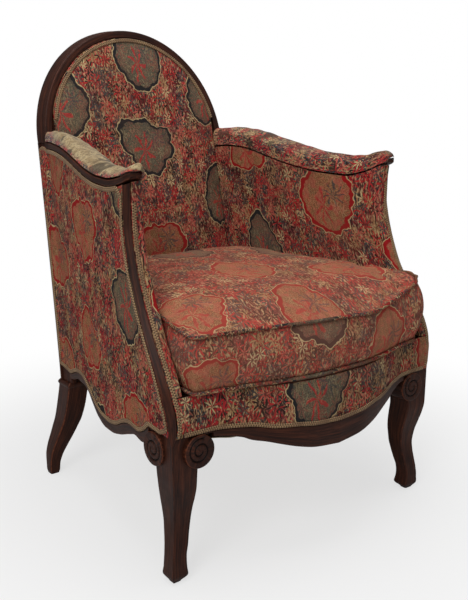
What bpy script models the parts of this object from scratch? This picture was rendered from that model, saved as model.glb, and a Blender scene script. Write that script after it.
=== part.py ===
"""An armchair with an arched show-wood back, stuffed arms and a loose seat cushion on a sprung seat.

X runs to the viewer's right, Y to the back and Z up. Shapes are worked out for the right side and
mirrored for the left. The front feet stand at y = -0.30 until the last step centres the chair.
"""
import math

import bmesh
import bpy
import numpy as np

# Driving sizes in metres.
GAP = 0.0004  # what two neighbouring pieces leave between them
ARCH_HALF, ARCH_BASE, ARCH_RISE = 0.210, 0.660, 0.220  # the half ellipse of the back
BACK_SLOPE, BACK_Y0, BACK_Z0 = 0.2245, 0.111, 0.210  # the front plane of the leaning back
STILE_SPREAD = 0.0245  # how much further out the stiles stand at their feet than at the arch
FRAME_DEEP, SHOW_WIDE, TONGUE = 0.043, 0.014, 0.026
INNER_BACK = ARCH_HALF - TONGUE + 0.0032  # where the arms' inner faces meet the back
STILE_FOOT = ARCH_HALF + STILE_SPREAD
REBATE_FRONT, REBATE_BACK = 0.006, 0.038
LEG_TOP, SEAT_TOP, RAIL_TOP = 0.2047, 0.3120, 0.2850
RAIL_THICK, REBATE = 0.024, 0.005
EAR_X, EAR_Z, EAR_R, EAR_IN = 0.2420, 0.2202, 0.0245, 0.0468
KNEE_X, KNEE_Y = 0.2888, -0.3285
COVER = 0.0032  # a stuffed cover over wood
ARM_TIP = -0.2265
STILE_LAP = FRAME_DEEP - 0.0065  # how far the outside cover runs back over the stile
CUSHION_LOW, PIPING = 0.3165, 0.0030
CUSHION_BACK, CUSHION_CROWN = 0.4250, 0.4430  # the top seam at the back and the crown
GIMP_WIDE, GIMP_THICK = 0.0080, 0.0012
SHARP = math.radians(35)  # edges sharper than this stay crisp


def curve(*stations):
    """A smooth function through (where, value) stations that never overshoots them."""
    x, v = np.array(stations, float).T
    h = np.diff(x)
    s = np.diff(v) / h
    d = np.concatenate([s[:1], np.zeros(len(x) - 2), s[-1:]])
    for i in range(1, len(x) - 1):
        if s[i - 1] * s[i] > 0:
            a, b = 2 * h[i] + h[i - 1], h[i] + 2 * h[i - 1]
            d[i] = (a + b) / (a / s[i - 1] + b / s[i])

    def value(t):
        t = np.clip(np.asarray(t, float), x[0], x[-1])
        i = np.clip(np.searchsorted(x, t) - 1, 0, len(h) - 1)
        u = (t - x[i]) / h[i]
        low = (1 + 2 * u) * (1 - u) ** 2 * v[i] + u * (1 - u) ** 2 * h[i] * d[i]
        return low + u * u * (3 - 2 * u) * v[i + 1] + u * u * (u - 1) * h[i] * d[i + 1]

    return value


def mix(a, b, t):
    return a + (b - a) * t


# The front leg: centre and half width at each height, as the two front legs show them.
leg_x = curve((0, .2700), (.03, .2712), (.045, .2700), (.06, .2667), (.08, .2631), (.10, .2606),
              (.12, .2604), (.14, .2613), (.16, .2632), (.18, .2650), (.235, .2653))
leg_y = curve((0, -.3030), (.03, -.3055), (.045, -.3044), (.06, -.3019), (.08, -.2980),
              (.10, -.2958), (.12, -.2964), (.14, -.2993), (.16, -.3029), (.18, -.3050), (.235, -.3050))
leg_h = curve((0, .0128), (.012, .0158), (.024, .0146), (.045, .0139), (.06, .0145), (.08, .0153),
              (.10, .0165), (.12, .0185), (.14, .0209), (.16, .0226), (.18, .0233), (.235, .0235))

# The arm post above the knee: the middle of its show strip, the strip's width and its rebate.
nose_x = curve((.235, .2880), (.262, .2880), (.285, .2900), (.31, .2935), (.335, .2950), (.36, .2945),
               (.41, .2915), (.45, .2892), (.50, .2880), (.56, .2864), (.61, .2868), (.63, .2872))
nose_y = curve((.235, -.3282), (.26, -.3288), (.285, -.3280), (.31, -.3240), (.335, -.3142),
               (.36, -.3002), (.385, -.2839), (.41, -.2675), (.44, -.2500), (.47, -.2368),
               (.50, -.2258), (.53, -.2177), (.56, -.2128), (.59, -.2132), (.63, -.2170))
strip_wide = curve((.235, .0010), (.2475, .0085), (.265, .0130), (.30, .0150), (.34, .0140),
                   (.42, .0128), (.63, .0122))
strip_deep = curve((.235, .0005), (.2475, .0036), (.63, .0036))
post_back = curve((.235, .0470), (.27, .0440), (.31, .0385), (.63, .0385))
post_in = curve((.235, .0468), (.27, .0400), (.30, .0245), (.31, .0238), (.36, .0238), (.42, .0245),
                (.63, .0240))

# The rear leg, measured from the stile that it carries.
rear_out = curve((0, .0125), (.02, .0120), (.04, .0090), (.06, .0020), (.08, -.0055), (.10, -.0120),
                 (.12, -.0170), (.16, -.0205), (LEG_TOP, -.0215))
rear_y = curve((0, .1790), (.02, .1785), (.04, .1775), (.06, .1755), (.08, .1710), (.10, .1660),
               (.12, .1595), (.16, .1475), (LEG_TOP, .1350))
rear_h = curve((0, .0105), (.02, .0112), (.04, .0135), (.06, .0160), (.08, .0178), (.10, .0193),
               (.12, .0205), (.16, .0216), (LEG_TOP, .0216))

# Seat rails: plan of the bowed front, then the lower edge and the top of the show wood.
front_plan = curve((0, -.3900), (.05, -.3875), (.09, -.3800), (.13, -.3670), (.17, -.3510),
                   (.2168, -.3350), (.2412, -.3338), (.29, -.3335))
front_low = curve((0, .1900), (.047, .1945), (.08, .2015), (.11, .2105), (.135, .2185),
                  (.157, .2240), (.172, .2305), (.22, .2385))
front_wood = curve((0, .2300), (.046, .2320), (.088, .2370), (.12, .2390), (.16, .2465),
                   (.19, .2475), (.29, .2478))
side_low = curve((-.262, .2200), (-.228, .2115), (-.2055, .2140), (-.184, .2077), (-.141, .1920),
                 (-.107, .1840), (-.076, .1825), (-.045, .1900), (-.016, .2075), (.0055, .2225),
                 (.03, .2290), (.06, .2290), (.09, .2200), (.12, .2130))
side_wood = curve((-.33, .2478), (-.262, .2478), (-.240, .2330), (-.218, .2255), (-.19, .2265),
                  (-.165, .2210), (-.127, .2045), (-.0985, .1998), (-.07, .2007), (-.043, .2078),
                  (-.0186, .2210), (.0027, .2315), (.0195, .2405), (.041, .2440), (.069, .2405),
                  (.1085, .2280), (.14, .2330))

# Arms: underside of the outer edge, the crest of the stuffing and the inner face.
arm_low = curve((ARM_TIP, .6262), (-.21, .6200), (-.187, .6147), (-.15, .6101), (-.1085, .6115),
                (-.0633, .6175), (-.0124, .6287), (.0468, .6410), (.09, .6470), (.13, .6495),
                (.163, .6505), (.21, .6505))
crest_z = curve((ARM_TIP, .6500), (-.215, .6480), (-.20, .6435), (-.18, .6395), (-.15, .6375),
                (-.12, .6390), (-.08, .6422), (-.04, .6488), (0, .6571), (.04, .6665), (.07, .6738),
                (.10, .6802), (.13, .6832), (.16, .6840), (.21, .6800))
crest_x = curve((ARM_TIP, .2720), (-.20, .2630), (-.15, .2560), (-.10, .2525), (-.04, .2505),
                (0, INNER_BACK + .0590), (.04, INNER_BACK + .0518), (.07, INNER_BACK + .0457),
                (.10, INNER_BACK + .0409), (.13, INNER_BACK + .0372), (.16, INNER_BACK + .0308),
                (.21, INNER_BACK + .0148))
inner_top = curve((ARM_TIP, .2630), (-.215, .2590), (-.20, .2555), (-.15, .2415), (-.10, .2260),
                  (-.05, .2125), (0, INNER_BACK + .0148), (.10, INNER_BACK + .0058),
                  (.16, INNER_BACK + .0013), (.21, INNER_BACK))
inner_low = curve((-.34, .2670), (-.30, .2660), (-.26, .2620), (-.23, .2570), (-.20, .2510),
                  (-.10, .2300), (0, INNER_BACK + .0243), (.10, INNER_BACK + .0088),
                  (.16, INNER_BACK + .0013), (.21, INNER_BACK))


def back_y(z):
    """The front plane of the hoop and of the stiles."""
    return BACK_Y0 + BACK_SLOPE * (z - BACK_Z0)


def stile_x(z):
    """The outer face of the stile, which ends in the ellipse of the arch."""
    return mix(STILE_FOOT, ARCH_HALF, np.clip((z - LEG_TOP) / (ARCH_BASE - LEG_TOP), 0, 1) ** 0.9)


def nose(z):
    return nose_x(z), nose_y(z)


def strip_front(z):
    """The front end of the show strip, where the inside cover starts."""
    half = strip_wide(z) * math.sqrt(0.5) / 2
    return nose_x(z) - half, nose_y(z) - half


def strip_side(z):
    """The outer end of the show strip, where the outside cover starts."""
    half = strip_wide(z) * math.sqrt(0.5) / 2
    return nose_x(z) + half, nose_y(z) + half


def side_x(y, z):
    """The outer face of the side, from the post's strip to the stile, with a slight belly."""
    front_x, front_y = strip_side(np.clip(z, .262, .6))
    u = np.clip((y - front_y) / (back_y(z) - front_y), 0, 1)
    belly = mix(.0045, .0120, np.clip((z - .25) / .36, 0, 1))
    return mix(front_x, stile_x(z), u) + belly * 4 * u * (1 - u)


def inner_x(y, z):
    """The inner face of the arm stuffing."""
    return mix(inner_low(y), inner_top(y), np.clip((z - .40) / .20, 0, 1))


def border_y(x, z):
    """The front cover: the bowed rail's plan, easing to the post's strip at the ends."""
    t = np.clip((abs(x) - .2168) / (.2790 - .2168), 0, 1)
    return mix(front_plan(abs(x)), strip_front(np.maximum(z, .2475))[1], t * t * (3 - 2 * t))


def arm_edge(y):
    return side_x(y, arm_low(y)) + 0.0012 - 0.0055 * np.clip((y - ARM_TIP - .0125) / .0125, -1, 0) ** 2


def arm_board(y):
    """The arm rail at y: outer x, its under and top edges, inner x, its under and top edges."""
    rise = np.clip((ARM_TIP + .0765 - y) / .0765, 0, 1)
    inner = inner_x(y, 0.62) + mix(0.0150, 0.0045, rise)
    top = crest_z(y) - 0.0160
    return arm_edge(y), arm_low(y), arm_low(y) + .0095, inner, mix(top - .020, top - .006, rise), top


def board_under(x, y):
    """The underside of the arm rail, which the post and the covers stop at."""
    out_x, out_low, _, in_x, in_low, _ = arm_board(y)
    return mix(in_low, out_low, np.clip((x - in_x) / (out_x - in_x), 0, 1))


def arch(t, inset=0.0):
    """A point of the arch at angle t, moved in by inset along the ellipse's normal, as x and z."""
    nx, nz = np.cos(t) / ARCH_HALF, np.sin(t) / ARCH_RISE
    long = np.hypot(nx, nz)
    return (ARCH_HALF * np.cos(t) - inset * nx / long,
            ARCH_BASE + ARCH_RISE * np.sin(t) - inset * nz / long)


def material(name, colour, rough):
    made = bpy.data.materials.new(name)
    made.use_nodes = True
    shader = made.node_tree.nodes["Principled BSDF"]
    shader.inputs["Base Color"].default_value = (*colour, 1)
    shader.inputs["Roughness"].default_value = rough
    return made


TINTS = {
    "wood": ((0.090, 0.028, 0.016), 0.45),
    "cover": ((0.330, 0.090, 0.070), 0.90),
    "braid": ((0.500, 0.400, 0.270), 0.90),
    "canvas": ((0.420, 0.330, 0.210), 0.95),
    "steel": ((0.300, 0.290, 0.280), 0.40),
}


def body(name, points, faces, tint):
    mesh = bpy.data.meshes.new(name)
    mesh.from_pydata([tuple(map(float, p)) for p in points], [], faces)
    work = bmesh.new()
    work.from_mesh(mesh)
    bmesh.ops.recalc_face_normals(work, faces=work.faces)
    work.to_mesh(mesh)
    work.free()
    mesh.shade_smooth()
    mesh.set_sharp_from_angle(angle=SHARP)
    mesh.materials.append(material(name, *TINTS[tint]))
    made = bpy.data.objects.new(name, mesh)
    bpy.context.scene.collection.objects.link(made)
    return made


def loft(name, rings, tint, closed=False):
    """Skins rings of the same number of points; open ends get a cap."""
    rings = np.asarray(rings, float)
    n, m, _ = rings.shape
    faces = []
    for i in range(n if closed else n - 1):
        a, b = i * m, (i + 1) % n * m
        faces += [(a + j, a + (j + 1) % m, b + (j + 1) % m, b + j) for j in range(m)]
    if not closed:
        faces += [tuple(range(m))[::-1], tuple(range((n - 1) * m, n * m))]
    return body(name, rings.reshape(-1, 3), faces, tint)


def slab(name, face, back, tint):
    """Closes two grids of the same shape into a thin body."""
    face, back = np.asarray(face, float), np.asarray(back, float)
    n, m, _ = face.shape
    top = np.arange(n * m).reshape(n, m)
    low = top + n * m
    faces = []
    for grid in (top, low):
        faces += [(grid[i, j], grid[i + 1, j], grid[i + 1, j + 1], grid[i, j + 1])
                  for i in range(n - 1) for j in range(m - 1)]
    edge = [*((0, j) for j in range(m)), *((i, m - 1) for i in range(1, n)),
            *((n - 1, j) for j in range(m - 2, -1, -1)), *((i, 0) for i in range(n - 2, 0, -1))]
    for k, here in enumerate(edge):
        there = edge[(k + 1) % len(edge)]
        faces.append((top[here], top[there], low[there], low[here]))
    faces = [tuple(map(int, f)) for f in faces]
    return body(name, np.concatenate([face.reshape(-1, 3), back.reshape(-1, 3)]), faces, tint)


def ribbon(name, path, normal, tint, closed, wide=GIMP_WIDE, thick=GIMP_THICK, lift=GAP):
    """A flat braid along a path, lying on the surface whose outward normals are given."""
    path, normal = np.asarray(path, float), np.asarray(normal, float)
    if closed:
        along = np.roll(path, -1, 0) - np.roll(path, 1, 0)
    else:
        along = np.gradient(path, axis=0)
    along /= np.linalg.norm(along, axis=1, keepdims=True)
    normal = normal - along * (normal * along).sum(1, keepdims=True)
    normal /= np.linalg.norm(normal, axis=1, keepdims=True)
    across = np.cross(along, normal) * wide / 2
    low, high = path + normal * lift, path + normal * (lift + thick)
    rings = np.stack([low - across, low + across, high + across, high - across], 1)
    return loft(name, rings, tint, closed)


def flip(points, side):
    return np.asarray(points, float) * (side, 1, 1)


SIDES = ((-1, "left"), (1, "right"))
SIDE_STATIONS = (-.2400, -.2200, -.1900, -.1620, -.1300, -.1000, -.0700, -.0430, -.0160, .0060, .0260,
                 .0480, .0760, .1085)
POST_LEVELS = (.2475, .265, .285, .312, .335, .37, .40, .44, .48, .52, .56, .60)


def disc(name, centre, axis, reach, side, count=16):
    """A round ear: a short cylinder along x or y from reach[0] to reach[1]."""
    a = np.arange(count) * 2 * math.pi / count
    rings = []
    for where in reach:
        ring = np.zeros((count, 3))
        ring[:, axis] = where
        ring[:, 1 - axis] = centre[0] + EAR_R * np.cos(a)
        ring[:, 2] = centre[1] + EAR_R * np.sin(a)
        rings.append(flip(ring, side))
    made = loft(name, rings, "wood")
    made.hide_render = True
    made.display_type = "WIRE"
    return made


def join(target, *others):
    for other in others:
        change = target.modifiers.new(other.name, "BOOLEAN")
        change.operation, change.solver, change.object = "UNION", "EXACT", other


def front_post(side, tag):
    """Leg and arm post cut from one piece, with a round ear on each side of the knee."""
    legs = (0, .006, .013, .024, .038, .055, .075, .10, .12, .14, .16, .18, .235)
    rings = []
    for z in legs + POST_LEVELS:
        if z <= .235:
            x, y, h = leg_x(z), leg_y(z), leg_h(z)
            nx, ny, back, inner = x + h, y - h, y + h, x - h
        else:
            nx, ny = nose(z)
            back, inner = ny + post_back(z), nx - post_in(z)
        half, deep = strip_wide(z) * math.sqrt(0.5) / 2, strip_deep(z)
        outer = nx if z <= .235 else side_x(back, z) - COVER - .0022
        ring = np.array([
            (nx - half, ny - half, z), (nx + half, ny + half, z),
            (nx + half - deep, ny + half + deep, z), (outer, back, z),
            (inner, back, z), (inner, ny - half + deep, z), (nx - half - deep, ny - half + deep, z)])
        if z == POST_LEVELS[-1]:
            ring[:, 2] = board_under(ring[:, 0], ring[:, 1]) - .0040
        rings.append(flip(ring, side))
    post = loft("front_post_" + tag, rings, "wood")
    front = disc("ear_front_" + tag, (EAR_X, EAR_Z), 1, (KNEE_Y - .0030, -.3000), side)
    beside = disc("ear_side_" + tag, (KNEE_Y + EAR_IN, EAR_Z), 0, (.2600, KNEE_X + .0042), side)
    join(post, front, beside)


def rear_leg(side, tag):
    rings = []
    heights = (0, .008, .02, .03, .04, .05, .06, .07, .08, .09, .10, .12, .14, .16, .18, .1935, .1955,
               .2015, LEG_TOP)
    for z in heights:
        x, y, h = STILE_FOOT + rear_out(z), rear_y(z), rear_h(z)
        h = h + (.0018 if .1945 < z < .2030 else 0)
        rings.append(flip([(x - h, y - h, z), (x + h, y - h, z), (x + h, y + h, z), (x - h, y + h, z)], side))
    loft("rear_leg_" + tag, rings, "wood")


# The frame's section: how far in from the outer edge, and how deep from the front plane.
FRAME = ((0, 0), (0, FRAME_DEEP), (SHOW_WIDE, FRAME_DEEP), (SHOW_WIDE, REBATE_BACK), (TONGUE, REBATE_BACK),
         (TONGUE, REBATE_FRONT), (SHOW_WIDE, REBATE_FRONT), (SHOW_WIDE, 0))


def back_stile(side, tag):
    rings = []
    inset = COVER + GAP
    section = ((inset, 0), (inset, STILE_LAP + GAP), (0, STILE_LAP + GAP)) + FRAME[1:]
    for z in np.linspace(LEG_TOP + GAP, ARCH_BASE - GAP, 9):
        rings.append(flip([(stile_x(z) - i, back_y(z) + d, z) for i, d in section], side))
    loft("back_stile_" + tag, rings, "wood")


def crest_rail():
    rings = []
    for t in np.linspace(0, math.pi, 21):
        ring = []
        for i, d in FRAME:
            x, z = arch(t, i)
            ring.append((x, back_y(z) + d, z))
        rings.append(ring)
    loft("crest_rail", rings, "wood")


def front_rail():
    """Bowed and shaped; above the ears its ends run on to the posts."""
    half = [(.0, 0), (.035, 0), (.07, 0), (.10, 0), (.13, 0), (.157, 0), (.185, 0), (.2165, 0),
            (.2168, 1), (.2412, 1)]
    rings = []
    for x, ends in [(-x, e) for x, e in half[:0:-1]] + half:
        y, low, wood = front_plan(abs(x)), front_low(abs(x)), front_wood(abs(x))
        low = EAR_Z + EAR_R + .0005 if ends else low
        rings.append([(x, y, low), (x, y, wood), (x, y + REBATE, wood), (x, y + REBATE, RAIL_TOP),
                      (x, y + .026, RAIL_TOP), (x, y + .026, low)])
    loft("front_rail", rings, "wood")


def side_rail(side, tag):
    ear_back = KNEE_Y + EAR_IN + EAR_R
    stations = [(-.2812, 1), (ear_back + .0003, 1), (ear_back + .0006, 0)]
    stations += [(y, 0) for y in SIDE_STATIONS]
    rings = []
    for k, (y, ends) in enumerate(stations):
        x, upper = side_x(y, .25), side_x(y, RAIL_TOP) - REBATE
        low = EAR_Z + EAR_R + .0005 if ends else side_low(y)
        wood = side_wood(y)
        ring = np.array([(x, y, low), (x, y, wood), (min(x - REBATE, upper), y, wood), (upper, y, RAIL_TOP),
                         (x - RAIL_THICK, y, RAIL_TOP), (x - RAIL_THICK, y, low)])
        if k == len(stations) - 1:
            ring[:, 1] = back_y(ring[:, 2]) - GAP
            ring[:, 0] -= side_x(y, ring[:, 2]) - side_x(ring[:, 1], ring[:, 2])
        rings.append(flip(ring, side))
    loft("side_rail_" + tag, rings, "wood")


def cross_rail(name, low, high, front, back):
    rings = []
    for end in (-1, 1):
        rings.append([(end * (stile_x(z) - TONGUE - GAP), back_y(z) + d, z)
                      for z, d in ((low, front), (low, back), (high, back), (high, front))])
    loft(name, rings, "wood")


def arm_rail(side, tag):
    rings = []
    for y in ARM_STATIONS:
        out_x, out_low, out_top, in_x, in_low, in_top = arm_board(y)
        ring = np.array([(out_x, y, out_low), (out_x, y, out_top), (in_x, y, in_top), (in_x, y, in_low)])
        if y == ARM_STATIONS[-1]:
            ring[:, 1] = back_y(ring[:, 2]) - GAP
        rings.append(flip(ring, side))
    loft("arm_rail_" + tag, rings, "wood")


ARM_STATIONS = (ARM_TIP, -.2220, -.2120, -.1900, -.1620, -.1300, -.093, -.05, 0, .045, .09, .13, .165, .200)


def arm_tack_rail(side, tag):
    rings = []
    low, high = .3350, .3600
    front = nose_y(.3475) + post_back(.3475) + .0100
    for y in (front, -.20, -.10, 0, .08, .14):
        x = inner_x(y, .35) + .0078
        ring = np.array([(x, y, low), (x + .016, y, low), (x + .016, y, high), (x, y, high)])
        if y == front:
            ring[:, 1] = nose_y(ring[:, 2]) + post_back(ring[:, 2]) + .0010
        if y == .14:
            ring[:, 1] = back_y(ring[:, 2]) - GAP
        rings.append(flip(ring, side))
    loft("arm_tack_rail_" + tag, rings, "wood")


def corner_blocks():
    """A glued block in each corner of the seat frame."""
    low, high = .2520, .2820
    for side, tag in SIDES:
        x = side_x(-.24, .25) - RAIL_THICK - .0006
        post_x, post_y = .2408, -.2808
        plan = [(post_x, front_plan(.2412) + .0268), (post_x, post_y), (x + .0010, post_y),
                (x, -.2350), (.1850, front_plan(.185) + .0270), (.2165, front_plan(.2165) + .0270)]
        loft("corner_block_front_" + tag,
             [flip([(a, b, z) for a, b in plan], side) for z in (low, high)], "wood")
        inner = stile_x(.26) - TONGUE - .0006
        rail = side_x(.06, .25) - RAIL_THICK - .0006
        plan = [(inner - .045, back_y(.252) + .0074), (inner, back_y(.252) + .0074),
                (inner, back_y(.252) - .0010), (side_x(.118, .25) - RAIL_THICK - .0012, back_y(.252) - .0010),
                (rail, .06)]
        loft("corner_block_back_" + tag,
             [flip([(a, b, z) for a, b in plan], side) for z in (low, high)], "wood")


def web_z(x, y):
    """The level of the stretched webs, slack in the middle."""
    return .2400 - .0090 * (1 - (x / .25) ** 2) * (1 - ((y + .10) / .215) ** 2)


WEB_X, WEB_Y = (-.12, 0, .12), (-.20, -.10, 0)
WEB_HALF, WEB_STEP, WEB_FLAT, WEB_THICK = .024, .0018, .027, .0016


def web_stations(crossings, start, end):
    """Stations along a web: its ends, both edges of each crossing and the middle between two."""
    found = [start, end]
    found += [c + s * WEB_FLAT for c in crossings for s in (-1, 1)]
    found += [(a + b) / 2 for a, b in zip(crossings, crossings[1:])]
    return sorted(found)


def web_step(where, crossings, first):
    """Over one crossing web and under the next."""
    near = [k for k, c in enumerate(crossings) if abs(where - c) <= WEB_FLAT + 1e-6]
    return WEB_STEP * (-1) ** (first + near[0]) if near else 0


def web_line(index, lengthwise):
    """Stations along one web and its level at each of them."""
    if lengthwise:
        x = WEB_X[index]
        start, end = front_plan(abs(x) + WEB_HALF * (x != 0)) + .0272, back_y(.24) + .0070
        where = web_stations(WEB_Y, start, end)
        return where, [web_z(x, y) + web_step(y, WEB_Y, index) for y in where]
    y = WEB_Y[index]
    half = min(side_x(y + s * WEB_HALF, .25) for s in (-1, 1)) - RAIL_THICK - .0010
    where = web_stations(WEB_X, -half, half)
    return where, [web_z(x, y) - web_step(x, WEB_X, index) for x in where]


def webs():
    """Three webs each way, laced over and under each other between the rails."""
    half = (0, 0, WEB_THICK / 2)
    for i, x in enumerate(WEB_X):
        rows = np.array([[(x + s * WEB_HALF, y, z) for s in (-1, 1)] for y, z in zip(*web_line(i, True))])
        slab(f"web_long_{i + 1}", rows + half, rows - half, "canvas")
    for j, y in enumerate(WEB_Y):
        rows = np.array([[(x, y + s * WEB_HALF, z) for s in (-1, 1)] for x, z in zip(*web_line(j, False))])
        slab(f"web_cross_{j + 1}", rows + half, rows - half, "canvas")


def hessian_z(x, y):
    """The underside of the hessian: on the rails at its edge, domed over the springs."""
    across = np.clip(1 - (x / .240) ** 2, 0, 1)
    along = np.clip(1 - ((y + .105) / .240) ** 2, 0, 1)
    return RAIL_TOP + GAP + .0150 * across * along


def rod(name, points, radius, tint, cyclic=False):
    """A round rod along a path: a poly curve with a bevel and filled caps."""
    data = bpy.data.curves.new(name, "CURVE")
    data.dimensions = "3D"
    data.bevel_depth, data.bevel_resolution, data.use_fill_caps = radius, 0, True
    spline = data.splines.new("POLY")
    spline.points.add(len(points) - 1)
    for point, place in zip(spline.points, points):
        point.co = (*map(float, place), 1)
    spline.use_cyclic_u = cyclic
    data.materials.append(material(name, *TINTS[tint]))
    made = bpy.data.objects.new(name, data)
    bpy.context.scene.collection.objects.link(made)
    return made


def springs():
    """Waisted coils tied between the webs, where they cross, and the hessian."""
    wire, turns, per_turn, rim, waist, seat = .0016, 3, 6, .0300, .0085, .0005
    grid = seat_plan()
    t = np.linspace(0, 1, turns * per_turn + 1)
    a = t * turns * 2 * math.pi
    rise = np.clip((t - .12) / .76, 0, 1)
    rise = rise * rise * (3 - 2 * rise) * .5 + rise * .5
    radius = rim - waist * np.sin(math.pi * t) ** 2
    for i, x in enumerate(WEB_X):
        for j, y in enumerate(WEB_Y):
            px, py = x + radius * np.cos(a), y + radius * np.sin(a)
            tall = hessian_z(x, y) - web_z(x, y)
            rows = np.array([np.interp(px, row[:, 0], hessian_z(*row.T)) for row in grid])
            under = np.array([np.interp(v, grid[:, 3, 1], rows[:, k]) for k, v in enumerate(py)])
            over = np.where(abs(px - x) < WEB_HALF + wire, np.interp(py, *web_line(i, True)), 0)
            over = np.maximum(over, np.where(abs(py - y) < WEB_HALF + wire,
                                             np.interp(px, *web_line(j, False)), 0))
            low = (over - rise * tall).max() + WEB_THICK / 2 + wire + seat
            high = (under + (1 - rise) * tall).min() - wire - seat
            rod(f"coil_spring_{i * 3 + j + 1}", np.stack([px, py, mix(low, high, rise)], 1), wire, "steel")


def seat_half(y):
    """How far the seat stuffing reaches to the side: inside the posts, then over the side rails."""
    rail = side_x(y, .29) - REBATE - .0008
    return np.where(y < -.2800, .2404, np.minimum(rail, back_limit(y)))


def back_limit(y):
    return np.where(y > .1240, stile_x(.29) - TONGUE - .0010, 1.0)


def seat_rows():
    ys = np.array([-.335, -.2805, -.2795, -.22, -.16, -.10, -.04, .03, .1238, .1242, .1300])
    rows = []
    for y in ys:
        half = float(seat_half(y))
        rows.append([(half * s, y) for s in (-1, -.9018, -.54, 0, .54, .9018, 1)])
    return np.array(rows)


def seat_plan():
    """A grid of the seat, its first row on the bowed front."""
    grid = seat_rows()
    grid[0, :, 1] = front_plan(abs(grid[0, :, 0])) + REBATE + .0022
    return grid


def seat_layers():
    grid = seat_plan()
    x, y = grid[..., 0], grid[..., 1]
    low = hessian_z(x, y)
    at = lambda z: np.stack([x, y, z], -1)
    slab("spring_hessian", at(low + .0016), at(low), "canvas")
    slab("seat_platform", at(0 * low + SEAT_TOP), at(low + .0020), "cover")


def front_border():
    xs = np.array([-.2786, -.262, -.2412, -.2168, -.185, -.157, -.13, -.10, -.07, -.035, 0])
    xs = np.concatenate([xs, -xs[-2::-1]])
    face, back = [], []
    for t in np.linspace(0, 1, 4):
        row = []
        for x in xs:
            z = mix(front_wood(abs(x)) + GAP, .3105, t)
            edge = strip_front(max(z, .2475))[0] - .0010
            x = math.copysign(edge, x) if abs(x) == xs[-1] else x
            row.append((x, border_y(x, z), z))
        face.append(row)
        back.append([(x * (1 - COVER / .2786), y + COVER, z) for x, y, z in row])
    slab("front_border", face, back, "cover")


def arm_facings_and_walls():
    """The inside cover: it starts at the post's strip, turns the corner and runs to the back."""
    for side, tag in SIDES:
        face, back = [], []
        for z0 in (SEAT_TOP + .0006,) + POST_LEVELS[4:]:
            last = z0 == POST_LEVELS[-1]
            front_x, front_y = strip_front(z0)
            end = back_y(z0) - .0008
            in_front = inner_x(front_y, z0)
            post = nose_x(z0) - post_in(z0) - GAP
            ys = [front_y + .044, *np.linspace(front_y + .085, .09, 5), end]
            out = [(front_x - .0008, front_y), (in_front + .004, front_y), (in_front, front_y + .004)]
            out += [(inner_x(y, z0), y) for y in ys]
            hide_y = front_y + COVER
            hid = [(front_x - .0010 - COVER, hide_y), (post, hide_y), (post, hide_y + .004)]
            hid += [(min(inner_x(y, z0) + .0055, post if y < front_y + .045 else 1), y) for y in ys]
            rows = []
            for plan in (out, hid):
                row = []
                for x, y in plan:
                    z = board_under(max(x, arm_board(y)[3]), y) - .0036 if last else z0
                    y = y if plan is hid or y != end else back_y(z) - .0008
                    row.append((x, min(y, back_y(z) - .0008), z))
                rows.append(row)
            face.append(rows[0])
            back.append(rows[1])
        slab("inside_arm_" + tag, flip(face, side), flip(back, side), "cover")


def arm_pads():
    """Stuffing and cover on top of each arm rail, lapping its inner edge."""
    for side, tag in SIDES:
        face, back = [], []
        for y in ARM_STATIONS:
            out_x, _, out_top, in_x, in_low, in_top = arm_board(y)
            x0 = inner_x(y, .62)
            top_x, top_z = crest_x(y), crest_z(y)
            face.append([(x0, y, in_low), (x0, y, in_low + .012), (x0 + .0020, y, top_z - .0105),
                         (mix(x0, top_x, .55), y, top_z - .0022), (top_x, y, top_z),
                         (mix(top_x, out_x, .62), y, mix(top_z, out_top + .006, .46)),
                         (out_x - .0015, y, out_top + .0040)])
            at = lambda t: (mix(in_x, out_x - .0015, t), y, mix(in_top, out_top, t) + .0034)
            lip = in_x - .0012
            back.append([(lip, y, in_low), (lip, y, in_low + .006), (lip, y, mix(in_low, in_top, .9)),
                         (lip, y, in_top + .0034), at(.15), at(.6), at(1)])
        for rows in (face, back):
            rows[-1] = [(x, back_y(z) - .0008, z) for x, _, z in rows[-1]]
        slab("arm_pad_" + tag, flip(face, side), flip(back, side), "cover")


def outside_arm(side, tag):
    """The outside cover, flush between the strip, the arm rail and the show wood, and lapped over the stile."""
    face, back = [], []
    start, stop = strip_side(.262)[1] + .0018, back_y(.232)
    us = [0, *((y - start) / (stop - start) for y in (-.262,) + SIDE_STATIONS), 1, 1.5, 2]
    for t in (0, .095, .169, .231, .327, .518, .70, .845, 1):
        row, hidden = [], []
        for u in us:
            z = mix(.25, .61, t)
            for _ in range(6):
                front, lap = strip_side(np.clip(z, .262, .6))[1] + .0018, max(u - 1, 0)
                y = mix(front, back_y(z), min(u, 1)) + lap * STILE_LAP
                top = board_under(side_x(y, z) - COVER, y) - .0027 + .0080 * 4 * lap * (1 - lap)
                z = mix(side_wood(y) + .0020, top, t)
            x = side_x(y, z)
            row.append((x, y, z))
            hidden.append((x - COVER, y + (COVER + .0020 if u == 0 else 0), z))
        face.append(row)
        back.append(hidden)
    slab("outside_arm_" + tag, flip(face, side), flip(back, side), "cover")


def back_outline(inset, low, limit=None, count=21):
    """The opening of the back frame: up one stile, over the arch and down, as x and z."""
    zs = np.linspace(low, ARCH_BASE, 7)[:-1]
    right = [(float(stile_x(z)) - inset, z) for z in zs]
    over = [arch(t, inset) for t in np.linspace(0, math.pi, count)]
    left = [(-x, z) for x, z in right[::-1]]
    base = [(x, low) for x in np.linspace(-right[0][0], right[0][0], 5)[1:-1]]
    line = np.array(right + over + left + base)
    if limit:
        line[:, 0] = np.clip(line[:, 0], -limit, limit)
    return line


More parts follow.
